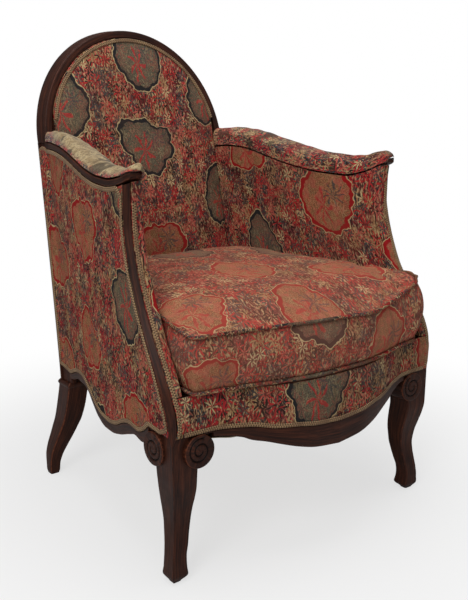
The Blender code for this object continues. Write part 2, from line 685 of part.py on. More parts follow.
def inset_line(line, by):
    """Moves each point of a closed line inwards by this much."""
    along = np.roll(line, -1, 0) - np.roll(line, 1, 0)
    along /= np.linalg.norm(along, axis=1, keepdims=True)
    return line + np.stack([-along[:, 1], along[:, 0]], 1) * by


def inside_back():
    line = back_outline(SHOW_WIDE + GAP, SEAT_TOP + .0008, limit=INNER_BACK - .0010)
    centre = np.array((0, .56))
    near = inset_line(line, .0110)
    rings = []
    for plan, out in ((line, REBATE_FRONT - .0006), (line, -.0020), (near, -.0040),
                      (centre + (line - centre) * .86, -.0110), (centre + (line - centre) * .58, -.0170),
                      (centre + (line - centre) * .20, -.0190)):
        rings.append([(x, back_y(z) + out, z) for x, z in plan])
    loft("inside_back", rings, "cover")


def outside_back():
    line = back_outline(SHOW_WIDE + GAP, LEG_TOP + .0090)
    loft("outside_back", [[(x, back_y(z) + d, z) for x, z in line]
                          for d in (REBATE_BACK + .0006, FRAME_DEEP - .0005)], "cover")


def cushion_plan(count=4):
    """The cushion's outline: bowed front, sides along the arms, back along the back."""
    xs = np.array([-.252, -.222, -.185, -.14, -.095, -.05, 0, .05, .095, .14, .185, .222, .252])
    front_edge = curve((0, -.3835), (.05, -.3815), (.10, -.3735), (.15, -.3600), (.20, -.3465),
                       (.23, -.3415), (.252, -.3355))
    front = [(x, float(front_edge(abs(x)))) for x in xs]
    ys = np.array([-.322, -.30, -.25, -.20, -.14, -.07, .01, .08, .115])
    side = [(float(min(inner_low(y), inner_x(y, .435))) - .0094, y) for y in ys]
    back_edge = back_y(.33) - .0295
    reach = INNER_BACK - .0222
    back = [(x, back_edge + .0010 * (1 - (x / reach) ** 2)) for x in np.linspace(reach, -reach, 5)]
    return np.array(front + side + back + [(-x, y) for x, y in side[::-1]])


cushion_top = curve((-.25, .4030), (-.19, .4035), (-.13, .4055), (-.05, .4050), (.03, .4020),
                    (.08, .3985), (.13, .4040), (.197, .4150), (.25, .4320))


def cushion_edge_z(x, y):
    """The height of the top seam: the measured line in front, easing to a level back."""
    t = np.clip((y + .34) / .40, 0, 1)
    return mix(cushion_top(x), CUSHION_BACK, t * t * (3 - 2 * t))


def seat_cushion():
    line = cushion_plan()
    centre = np.array((0, -.11))
    x, y = line.T
    top = cushion_edge_z(x, y)
    rings = []

    def ring(scale, grow, z):
        plan = centre + (line - centre) * scale - (inset_line(line, 1.0) - line) * grow
        rings.append(np.column_stack([plan, z + 0 * top]))

    ring(.30, 0, SEAT_TOP + .0006)
    ring(.94, 0, SEAT_TOP + .0006)
    ring(1, 0, CUSHION_LOW)
    ring(1, .0056, mix(CUSHION_LOW, top, .35))
    ring(1, .0056, mix(CUSHION_LOW, top, .68))
    ring(1, 0, top - .0060)
    ring(1, 0, top)
    ring(.955, 0, top + .0075)
    ring(.86, 0, mix(top, CUSHION_CROWN - .0070, .55) + .008)
    ring(.66, 0, mix(top, CUSHION_CROWN - .0030, .80) + .007)
    ring(.34, 0, mix(top, CUSHION_CROWN, .95) + .004)
    loft("seat_cushion", rings, "cover")
    out = line - (inset_line(line, 1.0) - line) * (PIPING + .0022)
    for name, z in (("cushion_piping_low", 0 * top + CUSHION_LOW), ("cushion_piping_top", top)):
        rod(name, np.column_stack([out, z]), PIPING, "cover", cyclic=True)


def bottom_cloth():
    """A thin dust cloth under the seat, slack in the middle."""
    ys = np.array([-.3040, -.2990, -.2984, -.2806, -.2798, -.22, -.16, -.10, -.04, .03, .085, .1050])
    face, back = [], []
    for k, y in enumerate(ys):
        rail = float(side_x(y, .25)) - RAIL_THICK - .0012
        half = .2120 if y < -.2987 else (.2400 if y < -.2800 else rail)
        half = min(half, .1890) if y > .0900 else (min(half, .2585) if y < -.25 else half)
        row = []
        for s in np.linspace(-1, 1, 7):
            x = s * half
            yy = front_plan(abs(x)) + .0268 if k == 0 else y
            sag = (1 - s ** 2) * np.clip(1 - ((yy + .12) / .25) ** 2, 0, 1)
            row.append((x, yy, .2262 - .0230 * sag))
        face.append(row)
        back.append([(x, y, z - .0012) for x, y, z in row])
    slab("bottom_cloth", face, back, "canvas")


def surface_normal(x_of, y, z):
    e = 1e-4
    dy = (x_of(y + e, z) - x_of(y - e, z)) / (2 * e)
    dz = (x_of(y, z + e) - x_of(y, z - e)) / (2 * e)
    return (1, -float(dy), -float(dz))


def side_gimp(side, tag):
    """The braid around the outside cover, just inside its edges."""
    edge = .0050
    rear = STILE_LAP - edge
    line = [(y, float(side_wood(y)) + edge) for y in np.linspace(back_y(.24) + rear, -.300, 20)]
    line += [(float(strip_side(z)[1]) + edge, z) for z in np.linspace(.262, .598, 11)]
    line += [(y, float(arm_low(y)) - edge) for y in np.linspace(-.190, .190, 11)]
    line += [(back_y(.65) + u * STILE_LAP, z) for u, z in ((.04, .6450), (.4, .6492), (.65, .6488), (.84, .6455))]
    line += [(float(back_y(z)) + rear, z) for z in np.linspace(.636, .262, 5)]
    path = [(side_x(y, z), y, z) for y, z in line]
    normal = [surface_normal(side_x, y, z) for y, z in line]
    ribbon("side_gimp_" + tag, flip(path, side), flip(normal, side), "braid", True, lift=.0012)


def front_gimps():
    xs = np.linspace(-.270, .270, 29)
    z = front_wood(abs(xs)) + .0050
    y = border_y(xs, z)
    e = 1e-4
    slope = (border_y(xs + e, z) - border_y(xs - e, z)) / (2 * e)
    ribbon("front_gimp", np.column_stack([xs, y, z]), np.column_stack([slope, -1 + 0 * xs, 0 * xs]),
           "braid", False, lift=.0010)
    for side, tag in SIDES:
        z = np.array((.2600, .2750, .2950, .3160) + POST_LEVELS[4:-1] + (.5900,))
        x, y = strip_front(z)
        slope = np.gradient(y, z)
        normal = np.column_stack([0 * z, -1 + 0 * z, slope])
        ribbon("post_gimp_" + tag, flip(np.column_stack([x - .0056, y, z]), side), flip(normal, side),
               "braid", False, lift=.0008)


def back_gimps():
    half = [arch(t, SHOW_WIDE + .0060) for t in np.linspace(.22, math.pi - .22, 25)]
    path = [(x, back_y(z) - .0031, z) for x, z in half]
    ribbon("inside_back_gimp", path, [(0, -1, BACK_SLOPE)] * len(path), "braid", False, lift=.0010)
    line = inset_line(back_outline(SHOW_WIDE + GAP, LEG_TOP + .0090), .0048)
    path = [(x, back_y(z) + FRAME_DEEP - .0005, z) for x, z in line]
    ribbon("outside_back_gimp", path, [(0, 1, -BACK_SLOPE)] * len(path), "braid", True, lift=GAP)


def centre_all():
    """Hangs every piece on an empty that puts the chair's middle over the origin."""
    seen = [o for o in bpy.data.objects if o.type == "MESH" and not o.hide_render]
    y = np.array([v.co.y for o in seen for v in o.data.vertices])
    root = bpy.data.objects.new("chair_root", None)
    bpy.context.scene.collection.objects.link(root)
    root.location.y = -float(y.max() + y.min()) / 2
    for o in bpy.data.objects:
        if o != root:
            o.parent = root


def main():
    for old in list(bpy.data.objects):
        bpy.data.objects.remove(old)
    for side, tag in SIDES:
        front_post(side, tag)
        rear_leg(side, tag)
        back_stile(side, tag)
        side_rail(side, tag)
        arm_rail(side, tag)
        arm_tack_rail(side, tag)
        outside_arm(side, tag)
        side_gimp(side, tag)
    crest_rail()
    front_rail()
    cross_rail("back_rail", .2150, .2750, .0080, .0320)
    cross_rail("back_tack_rail", .4500, .4800, .0100, .0300)
    corner_blocks()
    webs()
    springs()
    seat_layers()
    front_border()
    arm_facings_and_walls()
    arm_pads()
    inside_back()
    outside_back()
    seat_cushion()
    bottom_cloth()
    front_gimps()
    back_gimps()
    centre_all()


main()
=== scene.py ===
"""The looks of a small arched-back armchair: worn dark show wood, a faded leaf print, braid and a slumped cushion.

X runs to the viewer's right, Y to the back, Z up, in metres. Shapes are worked out for the chair's right
side in the plan of its maker, whose front feet stand at y = -0.30, and SHIFT moves them to the frame.
"""
import math

import bmesh
import bpy
import numpy as np
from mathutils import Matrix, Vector


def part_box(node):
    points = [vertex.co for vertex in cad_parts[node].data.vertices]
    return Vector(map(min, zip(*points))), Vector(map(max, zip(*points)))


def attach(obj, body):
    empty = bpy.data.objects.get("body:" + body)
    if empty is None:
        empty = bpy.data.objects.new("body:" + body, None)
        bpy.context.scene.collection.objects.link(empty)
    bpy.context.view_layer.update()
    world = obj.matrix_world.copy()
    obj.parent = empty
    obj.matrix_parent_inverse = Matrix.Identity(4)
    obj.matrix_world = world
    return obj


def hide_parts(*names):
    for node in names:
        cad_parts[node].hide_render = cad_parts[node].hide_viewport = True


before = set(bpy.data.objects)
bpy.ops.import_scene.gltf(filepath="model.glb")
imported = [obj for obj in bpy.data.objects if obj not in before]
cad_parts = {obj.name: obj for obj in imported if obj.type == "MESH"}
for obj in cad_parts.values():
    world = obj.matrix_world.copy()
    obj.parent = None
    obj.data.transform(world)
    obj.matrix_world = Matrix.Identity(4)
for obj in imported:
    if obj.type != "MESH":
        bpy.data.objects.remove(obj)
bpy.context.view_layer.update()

# Sizes of the frame and of the covers.
ARCH_HALF, ARCH_BASE, ARCH_RISE = 0.210, 0.660, 0.220
BACK_SLOPE, BACK_Y0, BACK_Z0 = 0.2245, 0.111, 0.210
FRAME_DEEP, SHOW_WIDE, TONGUE = 0.043, 0.014, 0.026
REBATE_FRONT, REBATE_BACK = 0.006, 0.038
LEG_TOP, SEAT_TOP, RAIL_TOP = 0.2047, 0.3120, 0.2850
RAIL_THICK, REBATE = 0.024, 0.005
EAR_X, EAR_Z, EAR_R, EAR_IN = 0.2420, 0.2202, 0.0245, 0.0468
KNEE_X, KNEE_Y = 0.2888, -0.3285
KNEE_TOP, POST_FOOT, POST_TOP = 0.2350, 0.2475, 0.6000
STRIP_LOW = 0.2620
STILE_FOOT = 0.2345
RAIL_END = 0.1085
COVER, PLAY = 0.0032, 0.0012
ARM_TIP, ARM_END = -0.2265, 0.2000
STILE_LAP = FRAME_DEEP - 0.0065
INNER_BACK = ARCH_HALF - TONGUE + 0.0032
BORDER_TOP = 0.3105
CUSHION_LOW, CUSHION_BACK, CUSHION_CROWN = 0.3165, 0.4250, 0.4350
PIPING, LOOP, GIMP_HALF, GIMP_EDGE = 0.0030, 0.0042, 0.0033, 0.0050
WELD = 2e-5  # points of two patches that are nearer than this are one
CORNER_STEPS = 4  # faces round a corner of a section
OUT_STOP, IN_STOP, POST_STOP = .0027, .0036, .0040  # how far under the arm rail these pieces end
SETTLE = 8  # rounds in which a cover's height and depth settle on each other
SWELL_STEPS, SWELL_MOST = 20, .016  # frames of the cloth simulation, and how far it may move a point
SIDES = ((-1, "left"), (1, "right"))


def curve(*stations):
    """A smooth function through (where, value) stations that never overshoots them."""
    x, v = np.array(stations, float).T
    h = np.diff(x)
    s = np.diff(v) / h
    d = np.concatenate([s[:1], np.zeros(len(x) - 2), s[-1:]])
    for i in range(1, len(x) - 1):
        if s[i - 1] * s[i] > 0:
            a, b = 2 * h[i] + h[i - 1], h[i] + 2 * h[i - 1]
            d[i] = (a + b) / (a / s[i - 1] + b / s[i])

    def value(t):
        """Hermite's cubic between the two stations round t."""
        t = np.clip(np.asarray(t, float), x[0], x[-1])
        i = np.clip(np.searchsorted(x, t) - 1, 0, len(h) - 1)
        u = (t - x[i]) / h[i]
        low = (1 + 2 * u) * (1 - u) ** 2 * v[i] + u * (1 - u) ** 2 * h[i] * d[i]
        return low + u * u * (3 - 2 * u) * v[i + 1] + u * u * (u - 1) * h[i] * d[i + 1]

    return value


def mix(a, b, t):
    """The straight blend: a where t is 0, b where it is 1."""
    return a + (b - a) * t


def share(t):
    """t kept between 0 and 1."""
    return np.clip(t, 0, 1)


def ease(t):
    """Smoothstep: 0 below 0, 1 above 1 and an S between."""
    t = share(t)
    return t * t * (3 - 2 * t)


def grid(*parts):
    """Points from their coordinates, which may be arrays of any shapes that fit together."""
    return np.stack(np.broadcast_arrays(*parts), -1)


def lengths(path):
    """How far along a path of straight pieces each of its points lies."""
    return np.concatenate([[0], np.linalg.norm(np.diff(path, axis=0), axis=1).cumsum()])


# The front leg: its centre and half width at each height.
leg_x = curve((0, .2700), (.03, .2712), (.045, .2700), (.06, .2667), (.08, .2631), (.10, .2606),
              (.12, .2604), (.14, .2613), (.16, .2632), (.18, .2650), (.235, .2653))
leg_y = curve((0, -.3030), (.03, -.3055), (.045, -.3044), (.06, -.3019), (.08, -.2980),
              (.10, -.2958), (.12, -.2964), (.14, -.2993), (.16, -.3029), (.18, -.3050), (.235, -.3050))
leg_h = curve((0, .0128), (.012, .0158), (.024, .0146), (.045, .0139), (.06, .0145), (.08, .0153),
              (.10, .0165), (.12, .0185), (.14, .0209), (.16, .0226), (.18, .0233), (.235, .0235))

# The arm post above the knee: the middle of its show strip, the strip's width and its rebate.
nose_x = curve((.235, .2880), (.262, .2880), (.285, .2900), (.31, .2935), (.335, .2950), (.36, .2945),
               (.41, .2915), (.45, .2892), (.50, .2880), (.56, .2864), (.61, .2868), (.63, .2872))
nose_y = curve((.235, -.3282), (.26, -.3288), (.285, -.3280), (.31, -.3240), (.335, -.3142),
               (.36, -.3002), (.385, -.2839), (.41, -.2675), (.44, -.2500), (.47, -.2368),
               (.50, -.2258), (.53, -.2177), (.56, -.2128), (.59, -.2132), (.63, -.2170))
strip_wide = curve((.235, .0010), (.2475, .0085), (.265, .0130), (.30, .0150), (.34, .0140),
                   (.42, .0128), (.63, .0122))
strip_deep = curve((.235, .0005), (.2475, .0036), (.63, .0036))
post_back = curve((.235, .0470), (.27, .0440), (.31, .0385), (.63, .0385))
post_in = curve((.235, .0468), (.27, .0400), (.30, .0245), (.31, .0238), (.36, .0238), (.42, .0245),
                (.63, .0240))

# The rear leg.
rear_x = curve((0, .2470), (.02, .2465), (.04, .2435), (.06, .2365), (.08, .2290), (.10, .2225),
               (.12, .2175), (.16, .2140), (.2047, .2130))
rear_y = curve((0, .1790), (.02, .1785), (.04, .1775), (.06, .1755), (.08, .1710), (.10, .1660),
               (.12, .1595), (.16, .1475), (.2047, .1350))
rear_h = curve((0, .0105), (.02, .0112), (.04, .0135), (.06, .0160), (.08, .0178), (.10, .0193),
               (.12, .0205), (.16, .0216), (.2047, .0216))

# Seat rails: the bowed front's plan, then the lower edges and the top of the show wood.
front_plan = curve((0, -.3900), (.05, -.3875), (.09, -.3800), (.13, -.3670), (.17, -.3510),
                   (.2168, -.3350), (.2412, -.3338), (.29, -.3335))
front_low = curve((0, .1900), (.047, .1945), (.08, .2015), (.11, .2105), (.135, .2185),
                  (.157, .2240), (.172, .2305), (.22, .2385))
front_wood = curve((0, .2300), (.046, .2320), (.088, .2370), (.12, .2390), (.16, .2465),
                   (.19, .2475), (.29, .2478))
side_low = curve((-.262, .2200), (-.228, .2115), (-.2055, .2140), (-.184, .2077), (-.141, .1920),
                 (-.107, .1840), (-.076, .1825), (-.045, .1900), (-.016, .2075), (.0055, .2225),
                 (.03, .2290), (.06, .2290), (.09, .2200), (.12, .2130))
side_wood = curve((-.33, .2478), (-.262, .2478), (-.240, .2330), (-.218, .2255), (-.19, .2265),
                  (-.165, .2210), (-.127, .2045), (-.0985, .1998), (-.07, .2007), (-.043, .2078),
                  (-.0186, .2210), (.0027, .2315), (.0195, .2405), (.041, .2440), (.069, .2405),
                  (.1085, .2280), (.14, .2330))

# Arms: underside of the outer edge, the crest of the stuffing and the inner face.
arm_low = curve((ARM_TIP, .6262), (-.21, .6200), (-.187, .6147), (-.15, .6101), (-.1085, .6115),
                (-.0633, .6175), (-.0124, .6287), (.0468, .6410), (.09, .6470), (.13, .6495),
                (.163, .6505), (.21, .6505))
crest_z = curve((ARM_TIP, .6500), (-.215, .6480), (-.20, .6435), (-.18, .6395), (-.15, .6375),
                (-.12, .6390), (-.08, .6422), (-.04, .6488), (0, .6571), (.04, .6665), (.07, .6738),
                (.10, .6802), (.13, .6832), (.16, .6840), (.21, .6800))
crest_x = curve((ARM_TIP, .2720), (-.20, .2630), (-.15, .2560), (-.10, .2525), (-.04, .2505),
                (0, INNER_BACK + .0590), (.04, INNER_BACK + .0518), (.07, INNER_BACK + .0457),
                (.10, INNER_BACK + .0409), (.13, INNER_BACK + .0372), (.16, INNER_BACK + .0308),
                (.21, INNER_BACK + .0148))
inner_top = curve((ARM_TIP, .2630), (-.215, .2590), (-.20, .2555), (-.15, .2415), (-.10, .2260),
                  (-.05, .2125), (0, INNER_BACK + .0148), (.10, INNER_BACK + .0058),
                  (.16, INNER_BACK + .0013), (.21, INNER_BACK))
inner_low = curve((-.34, .2670), (-.30, .2660), (-.26, .2620), (-.23, .2570), (-.20, .2510),
                  (-.10, .2300), (0, INNER_BACK + .0243), (.10, INNER_BACK + .0088),
                  (.16, INNER_BACK + .0013), (.21, INNER_BACK))


def back_y(z):
    """The front plane of the hoop and of the stiles."""
    return BACK_Y0 + BACK_SLOPE * (z - BACK_Z0)


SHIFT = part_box("crest_rail")[1].y - back_y(ARCH_BASE + ARCH_RISE) - FRAME_DEEP


def stile_x(z):
    """The outer face of the stile, which ends in the ellipse of the arch."""
    return mix(STILE_FOOT, ARCH_HALF, share((z - LEG_TOP) / (ARCH_BASE - LEG_TOP)) ** 0.9)


def strip_front(z):
    """The front end of the post's show strip, where the inside cover starts."""
    half = strip_wide(z) * math.sqrt(0.5) / 2
    return nose_x(z) - half, nose_y(z) - half


def strip_side(z):
    """The outer end of the post's show strip, where the outside cover starts."""
    half = strip_wide(z) * math.sqrt(0.5) / 2
    return nose_x(z) + half, nose_y(z) + half


def side_x(y, z):
    """The outer face of the side, from the post's strip to the stile, with a slight belly."""
    front_x, front_y = strip_side(np.clip(z, STRIP_LOW, POST_TOP))
    u = share((y - front_y) / (back_y(z) - front_y))
    belly = mix(.0045, .0120, share((z - .25) / .36))
    return mix(front_x, stile_x(z), u) + belly * 4 * u * (1 - u)


def inner_x(y, z):
    """The inner face of the arm stuffing."""
    return mix(inner_low(y), inner_top(y), share((z - .40) / .20))


def border_y(x, z):
    """The front cover: the bowed rail's plan, easing to the post's strip at the ends."""
    t = ease((abs(x) - .2168) / (.2790 - .2168))
    return mix(front_plan(abs(x)), strip_front(np.maximum(z, POST_FOOT))[1], t)


def arm_board(y):
    """The arm rail at y: outer x, its under and top edges, inner x, its under and top edges."""
    outer = side_x(y, arm_low(y)) + .0012 - .0055 * np.clip((y - ARM_TIP - .0125) / .0125, -1, 0) ** 2
    rise = share((ARM_TIP + .0765 - y) / .0765)
    inner = inner_x(y, 0.62) + mix(0.0150, 0.0045, rise)
    top = crest_z(y) - 0.0160
    return outer, arm_low(y), arm_low(y) + .0095, inner, mix(top - .020, top - .006, rise), top


def board_under(x, y):
    """The underside of the arm rail, which the post and the covers stop at."""
    out_x, out_low, _, in_x, in_low, _ = arm_board(y)
    return mix(in_low, out_low, share((x - in_x) / (out_x - in_x)))


def arch(t, inset=0.0):
    """A point of the arch at angle t, moved in by inset along the ellipse's normal, as x and z."""
    nx, nz = np.cos(t) / ARCH_HALF, np.sin(t) / ARCH_RISE
    long = np.hypot(nx, nz)
    return (ARCH_HALF * np.cos(t) - inset * nx / long,
            ARCH_BASE + ARCH_RISE * np.sin(t) - inset * nz / long)


def unit(v):
    """Each vector over its own length."""
    return v / np.maximum(np.linalg.norm(v, axis=-1, keepdims=True), 1e-12)


def ripple(a, b, size, seed):
    """Slow unevenness between -1 and 1: five crossed sine waves of about this wavelength."""
    total = 0 * a
    for k in range(5):
        turn, long = 2.4 * k + seed, size * (.7 + .23 * k)
        total = total + np.sin(2 * math.pi * (a * math.cos(turn) + b * math.sin(turn)) / long + 1.7 * k * seed)
    return total / 5


# Mesh making: a piece is one or more grids of points, welded where they meet.

def patch(points, uv=None, wear=0.0):
    """A grid of points with its flat coordinates in metres and how rubbed or hollow each point is."""
    points = np.asarray(points, float)
    if uv is None:
        along = np.linalg.norm(np.diff(points, axis=0), axis=2).mean(1)
        across = np.linalg.norm(np.diff(points, axis=1), axis=2).mean(0)
        v, u = np.concatenate([[0], along.cumsum()]), np.concatenate([[0], across.cumsum()])
        uv = np.stack(np.meshgrid(u, v), -1)
    return points, np.asarray(uv, float), np.broadcast_to(np.asarray(wear, float), points.shape[:2])


# The solids' names and the maker's words for the pieces that stand for them.
CALLED = {
    "front_post": "carved_leg_and_post", "rear_leg": "splayed_back_leg", "back_stile": "polished_stile",
    "crest_rail": "arched_top", "front_rail": "bowed_apron", "side_rail": "shaped_apron",
    "arm_rail": "worn_arm_edge", "outside_arm": "outer_side_cover", "inside_arm": "inner_side_cover",
    "arm_pad": "rubbed_arm_pad", "inside_back": "stuffed_back", "outside_back": "rear_cloth",
    "front_border": "apron_cover", "seat_platform": "platform_cloth", "bottom_cloth": "dropped_dust_cloth",
    "seat_cushion": "loose_cushion", "cushion_piping_low": "lower_corded_seam",
    "cushion_piping_top": "upper_corded_seam", "side_gimp": "side_braid", "post_gimp": "post_braid",
    "front_gimp": "apron_braid", "inside_back_gimp": "arch_braid", "outside_back_gimp": "rear_braid"}


def called(node):
    """The maker's word for the solid's piece, with its side."""
    for _, tag in SIDES:
        if node.endswith("_" + tag):
            return CALLED[node[:-len(tag) - 1]] + "_" + tag
    return CALLED[node]


def placed(name, data):
    """An object of this data, linked into the scene at the origin."""
    made = bpy.data.objects.new(name, data)
    bpy.context.scene.collection.objects.link(made)
    return made


def points_of(mesh):
    """The mesh's points as an array."""
    co = np.zeros(len(mesh.vertices) * 3, np.float32)
    mesh.vertices.foreach_get("co", co)
    return co.reshape(-1, 3)


def move_points(mesh, co):
    """Puts the mesh's points where the array has them."""
    mesh.vertices.foreach_set("co", co.astype(np.float32).ravel())
    mesh.update()


def build(name, patches, side=1, sharp=40):
    """Welds the patches into one closed mesh with its faces out, a UV map and the wear attribute."""
    offset, quads, points, coords, wear = 0, [], [], [], []
    for net, uv, worn in patches:
        n, m, _ = net.shape
        i = np.arange(n * m).reshape(n, m) + offset
        quads.append(np.stack([i[:-1, :-1], i[1:, :-1], i[1:, 1:], i[:-1, 1:]], -1).reshape(-1, 4))
        points.append(net.reshape(-1, 3))
        coords.append(uv.reshape(-1, 2))
        wear.append(worn.ravel())
        offset += n * m
    quads, points = np.concatenate(quads), np.concatenate(points) * (side, 1, 1) + (0, SHIFT, 0)
    mesh = bpy.data.meshes.new(called(name))
    mesh.vertices.add(len(points))
    mesh.loops.add(quads.size)
    mesh.polygons.add(len(quads))
    mesh.vertices.foreach_set("co", points.astype(np.float32).ravel())
    mesh.loops.foreach_set("vertex_index", quads.astype(np.int32).ravel())
    mesh.polygons.foreach_set("loop_start", np.arange(0, quads.size, 4, dtype=np.int32))
    mesh.uv_layers.new(name="run").data.foreach_set(
        "uv", np.concatenate(coords)[quads.ravel()].astype(np.float32).ravel())
    mesh.attributes.new("wear", "FLOAT", "POINT").data.foreach_set(
        "value", np.concatenate(wear).astype(np.float32))
    mesh.update(calc_edges=True)
    work = bmesh.new()
    work.from_mesh(mesh)
    bmesh.ops.remove_doubles(work, verts=work.verts, dist=WELD)
    bmesh.ops.recalc_face_normals(work, faces=work.faces)
    work.to_mesh(mesh)
    work.free()
    mesh.shade_smooth()
    mesh.set_sharp_from_angle(angle=math.radians(sharp))
    return placed(called(name), mesh)


def rounded(corners, radii, steps=CORNER_STEPS):
    """Closed rings with round corners: a quadratic arc from one side of each corner to the other.

    corners is rings x corners x 3. Returns the points and, for each, how far out on its corner it is.
    """
    radii = np.broadcast_to(np.asarray(radii, float), corners.shape[:2])[..., None]
    back, ahead = np.roll(corners, 1, 1) - corners, np.roll(corners, -1, 1) - corners
    reach = [np.minimum(radii, .46 * np.linalg.norm(d, axis=2, keepdims=True)) for d in (back, ahead)]
    start, end = corners + unit(back) * reach[0], corners + unit(ahead) * reach[1]
    t = np.linspace(0, 1, steps + 1)[:, None]
    at = lambda p: p[:, :, None, :]
    points = (1 - t) ** 2 * at(start) + 2 * t * (1 - t) * at(corners) + t * t * at(end)
    rings, k = corners.shape[:2]
    out = np.broadcast_to(4 * t[:, 0] * (1 - t[:, 0]), (rings, k, steps + 1))
    return points.reshape(rings, -1, 3), out.reshape(rings, -1)


def lid(end, rings=3):
    """A closed ring of points drawn in to its middle in equal steps."""
    middle = end[:-1].mean(0)
    return patch(middle + (end - middle) * np.linspace(1, 0, rings + 1)[:, None, None])


def tube(rings, wear):
    """Patches of a closed tube through rings of points: the wall, then a lid on each end."""
    wall = np.concatenate([rings, rings[:, :1]], 1)
    return [patch(wall, wear=np.concatenate([wear, wear[:, :1]], 1)), lid(wall[0]), lid(wall[-1])]


def closed_sheet(face, back, face_uv=None, wear=0.0):
    """Patches of a thin closed body between two grids of the same shape."""
    made = [patch(face, face_uv, wear), patch(back, face_uv)]
    for a, b in ((face[0], back[0]), (face[-1], back[-1]), (face[:, 0], back[:, 0]), (face[:, -1], back[:, -1])):
        made.append(patch(np.stack([a, b])))
    return made


def dress(piece, paint, slot, *nodes, fill=None):
    """Gives a piece its material and its place on the chair, and hides the solids it stands for."""
    piece.data.materials.clear()
    piece.data.materials.append(paint)
    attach(piece, "root")
    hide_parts(*nodes)


def wooden(name, corners, radii, shown, side=1, sharp=35, knocked=None):
    """A piece of show wood: its section's corners rounded and rubbed, each by its share in shown."""
    points, edge = rounded(corners, radii)
    wear = edge * np.repeat(shown, CORNER_STEPS + 1)
    if knocked:
        wear = wear * (.5 + .5 * ripple(points[..., 0], points[..., 1], *knocked))
    dress(build(name, tube(points, wear), side, sharp), WOOD, "show_wood", name)


# Shader maths as Python expressions.

class Shade:
    """One socket of a node tree; arithmetic on it adds Math nodes."""

    def __init__(self, tree, socket):
        self.tree, self.socket = tree, socket

    def node(self, kind, *values, settings=None, out=0, **named):
        return add_node(self.tree, kind, *values, settings=settings, out=out, **named)

    def math(self, operation, *others):
        return self.node("ShaderNodeMath", self, *others, settings={"operation": operation})

    def __add__(self, other):
        return self.math("ADD", other)

    def __sub__(self, other):
        return self.math("SUBTRACT", other)

    def __rsub__(self, other):
        return self.node("ShaderNodeMath", other, self, settings={"operation": "SUBTRACT"})

    def __mul__(self, other):
        return self.math("MULTIPLY", other)

    def __truediv__(self, other):
        return self.math("DIVIDE", other)

    def __gt__(self, other):
        return self.math("GREATER_THAN", other)

    def __lt__(self, other):
        return self.math("LESS_THAN", other)

    def __pow__(self, other):
        return self.math("POWER", other)

    __radd__ = __add__
    __rmul__ = __mul__

    def cos(self):
        return self.math("COSINE")

    def floor(self):
        return self.math("FLOOR")

    def part(self):
        return self.math("FRACT")

    def size(self):
        return self.math("ABSOLUTE")

    def ramp(self, low, high):
        """0 below low, 1 above high and a smooth step between."""
        return self.node("ShaderNodeMapRange", self, low, high, 0, 1, settings={"interpolation_type": "SMOOTHSTEP"})

    def tint(self, *stops, sharp=False):
        """A colour ramp of (place, colour) stops."""
        made = self.tree.nodes.new("ShaderNodeValToRGB")
        band = made.color_ramp
        band.interpolation = "CONSTANT" if sharp else "LINEAR"
        while len(band.elements) < len(stops):
            band.elements.new(0.5)
        for element, (place, colour) in zip(band.elements, stops):
            element.position, element.color = place, (*colour, 1)
        self.tree.links.new(self.socket, made.inputs[0])
        return Shade(self.tree, made.outputs[0])

    def over(self, below, mask):
        """This colour laid over another where the mask is 1."""
        return self.node("ShaderNodeMix", settings={"data_type": "RGBA"}, out="Result",
                         Factor=mask, A=below, B=self)

    def scaled(self, *factors):
        """A vector with each part multiplied."""
        return self.node("ShaderNodeVectorMath", self, factors, settings={"operation": "MULTIPLY"})

    def moved(self, other):
        return self.node("ShaderNodeVectorMath", self, other, settings={"operation": "ADD"})

    def parts(self):
        return [self.node("ShaderNodeSeparateXYZ", self, out=k) for k in range(3)]


def add_node(tree, kind, *values, settings=None, out=0, **named):
    """Adds a node: its settings first, then its sockets by place or by name, and returns one output."""
    made = tree.nodes.new(kind)
    for key, value in (settings or {}).items():
        setattr(made, key, value)
    inputs = [s for s in made.inputs if s.enabled]
    chosen = list(zip(inputs, values)) + [(next(s for s in inputs if s.name == k), v) for k, v in named.items()]
    for socket, value in chosen:
        if isinstance(value, Shade):
            tree.links.new(value.socket, socket)
        elif isinstance(value, tuple) and socket.type == "RGBA":
            socket.default_value = (*value, 1)
        else:
            socket.default_value = value
    outputs = [s for s in made.outputs if s.enabled]
    return Shade(tree, outputs[out] if isinstance(out, int) else next(s for s in outputs if s.name == out))


def rgb(red, green, blue):
    """A colour written as it is seen on a screen, 0 to 255, as the linear values that shaders use."""
    return tuple(((c / 255 + .055) / 1.055) ** 2.4 if c > 10 else c / 255 / 12.92 for c in (red, green, blue))


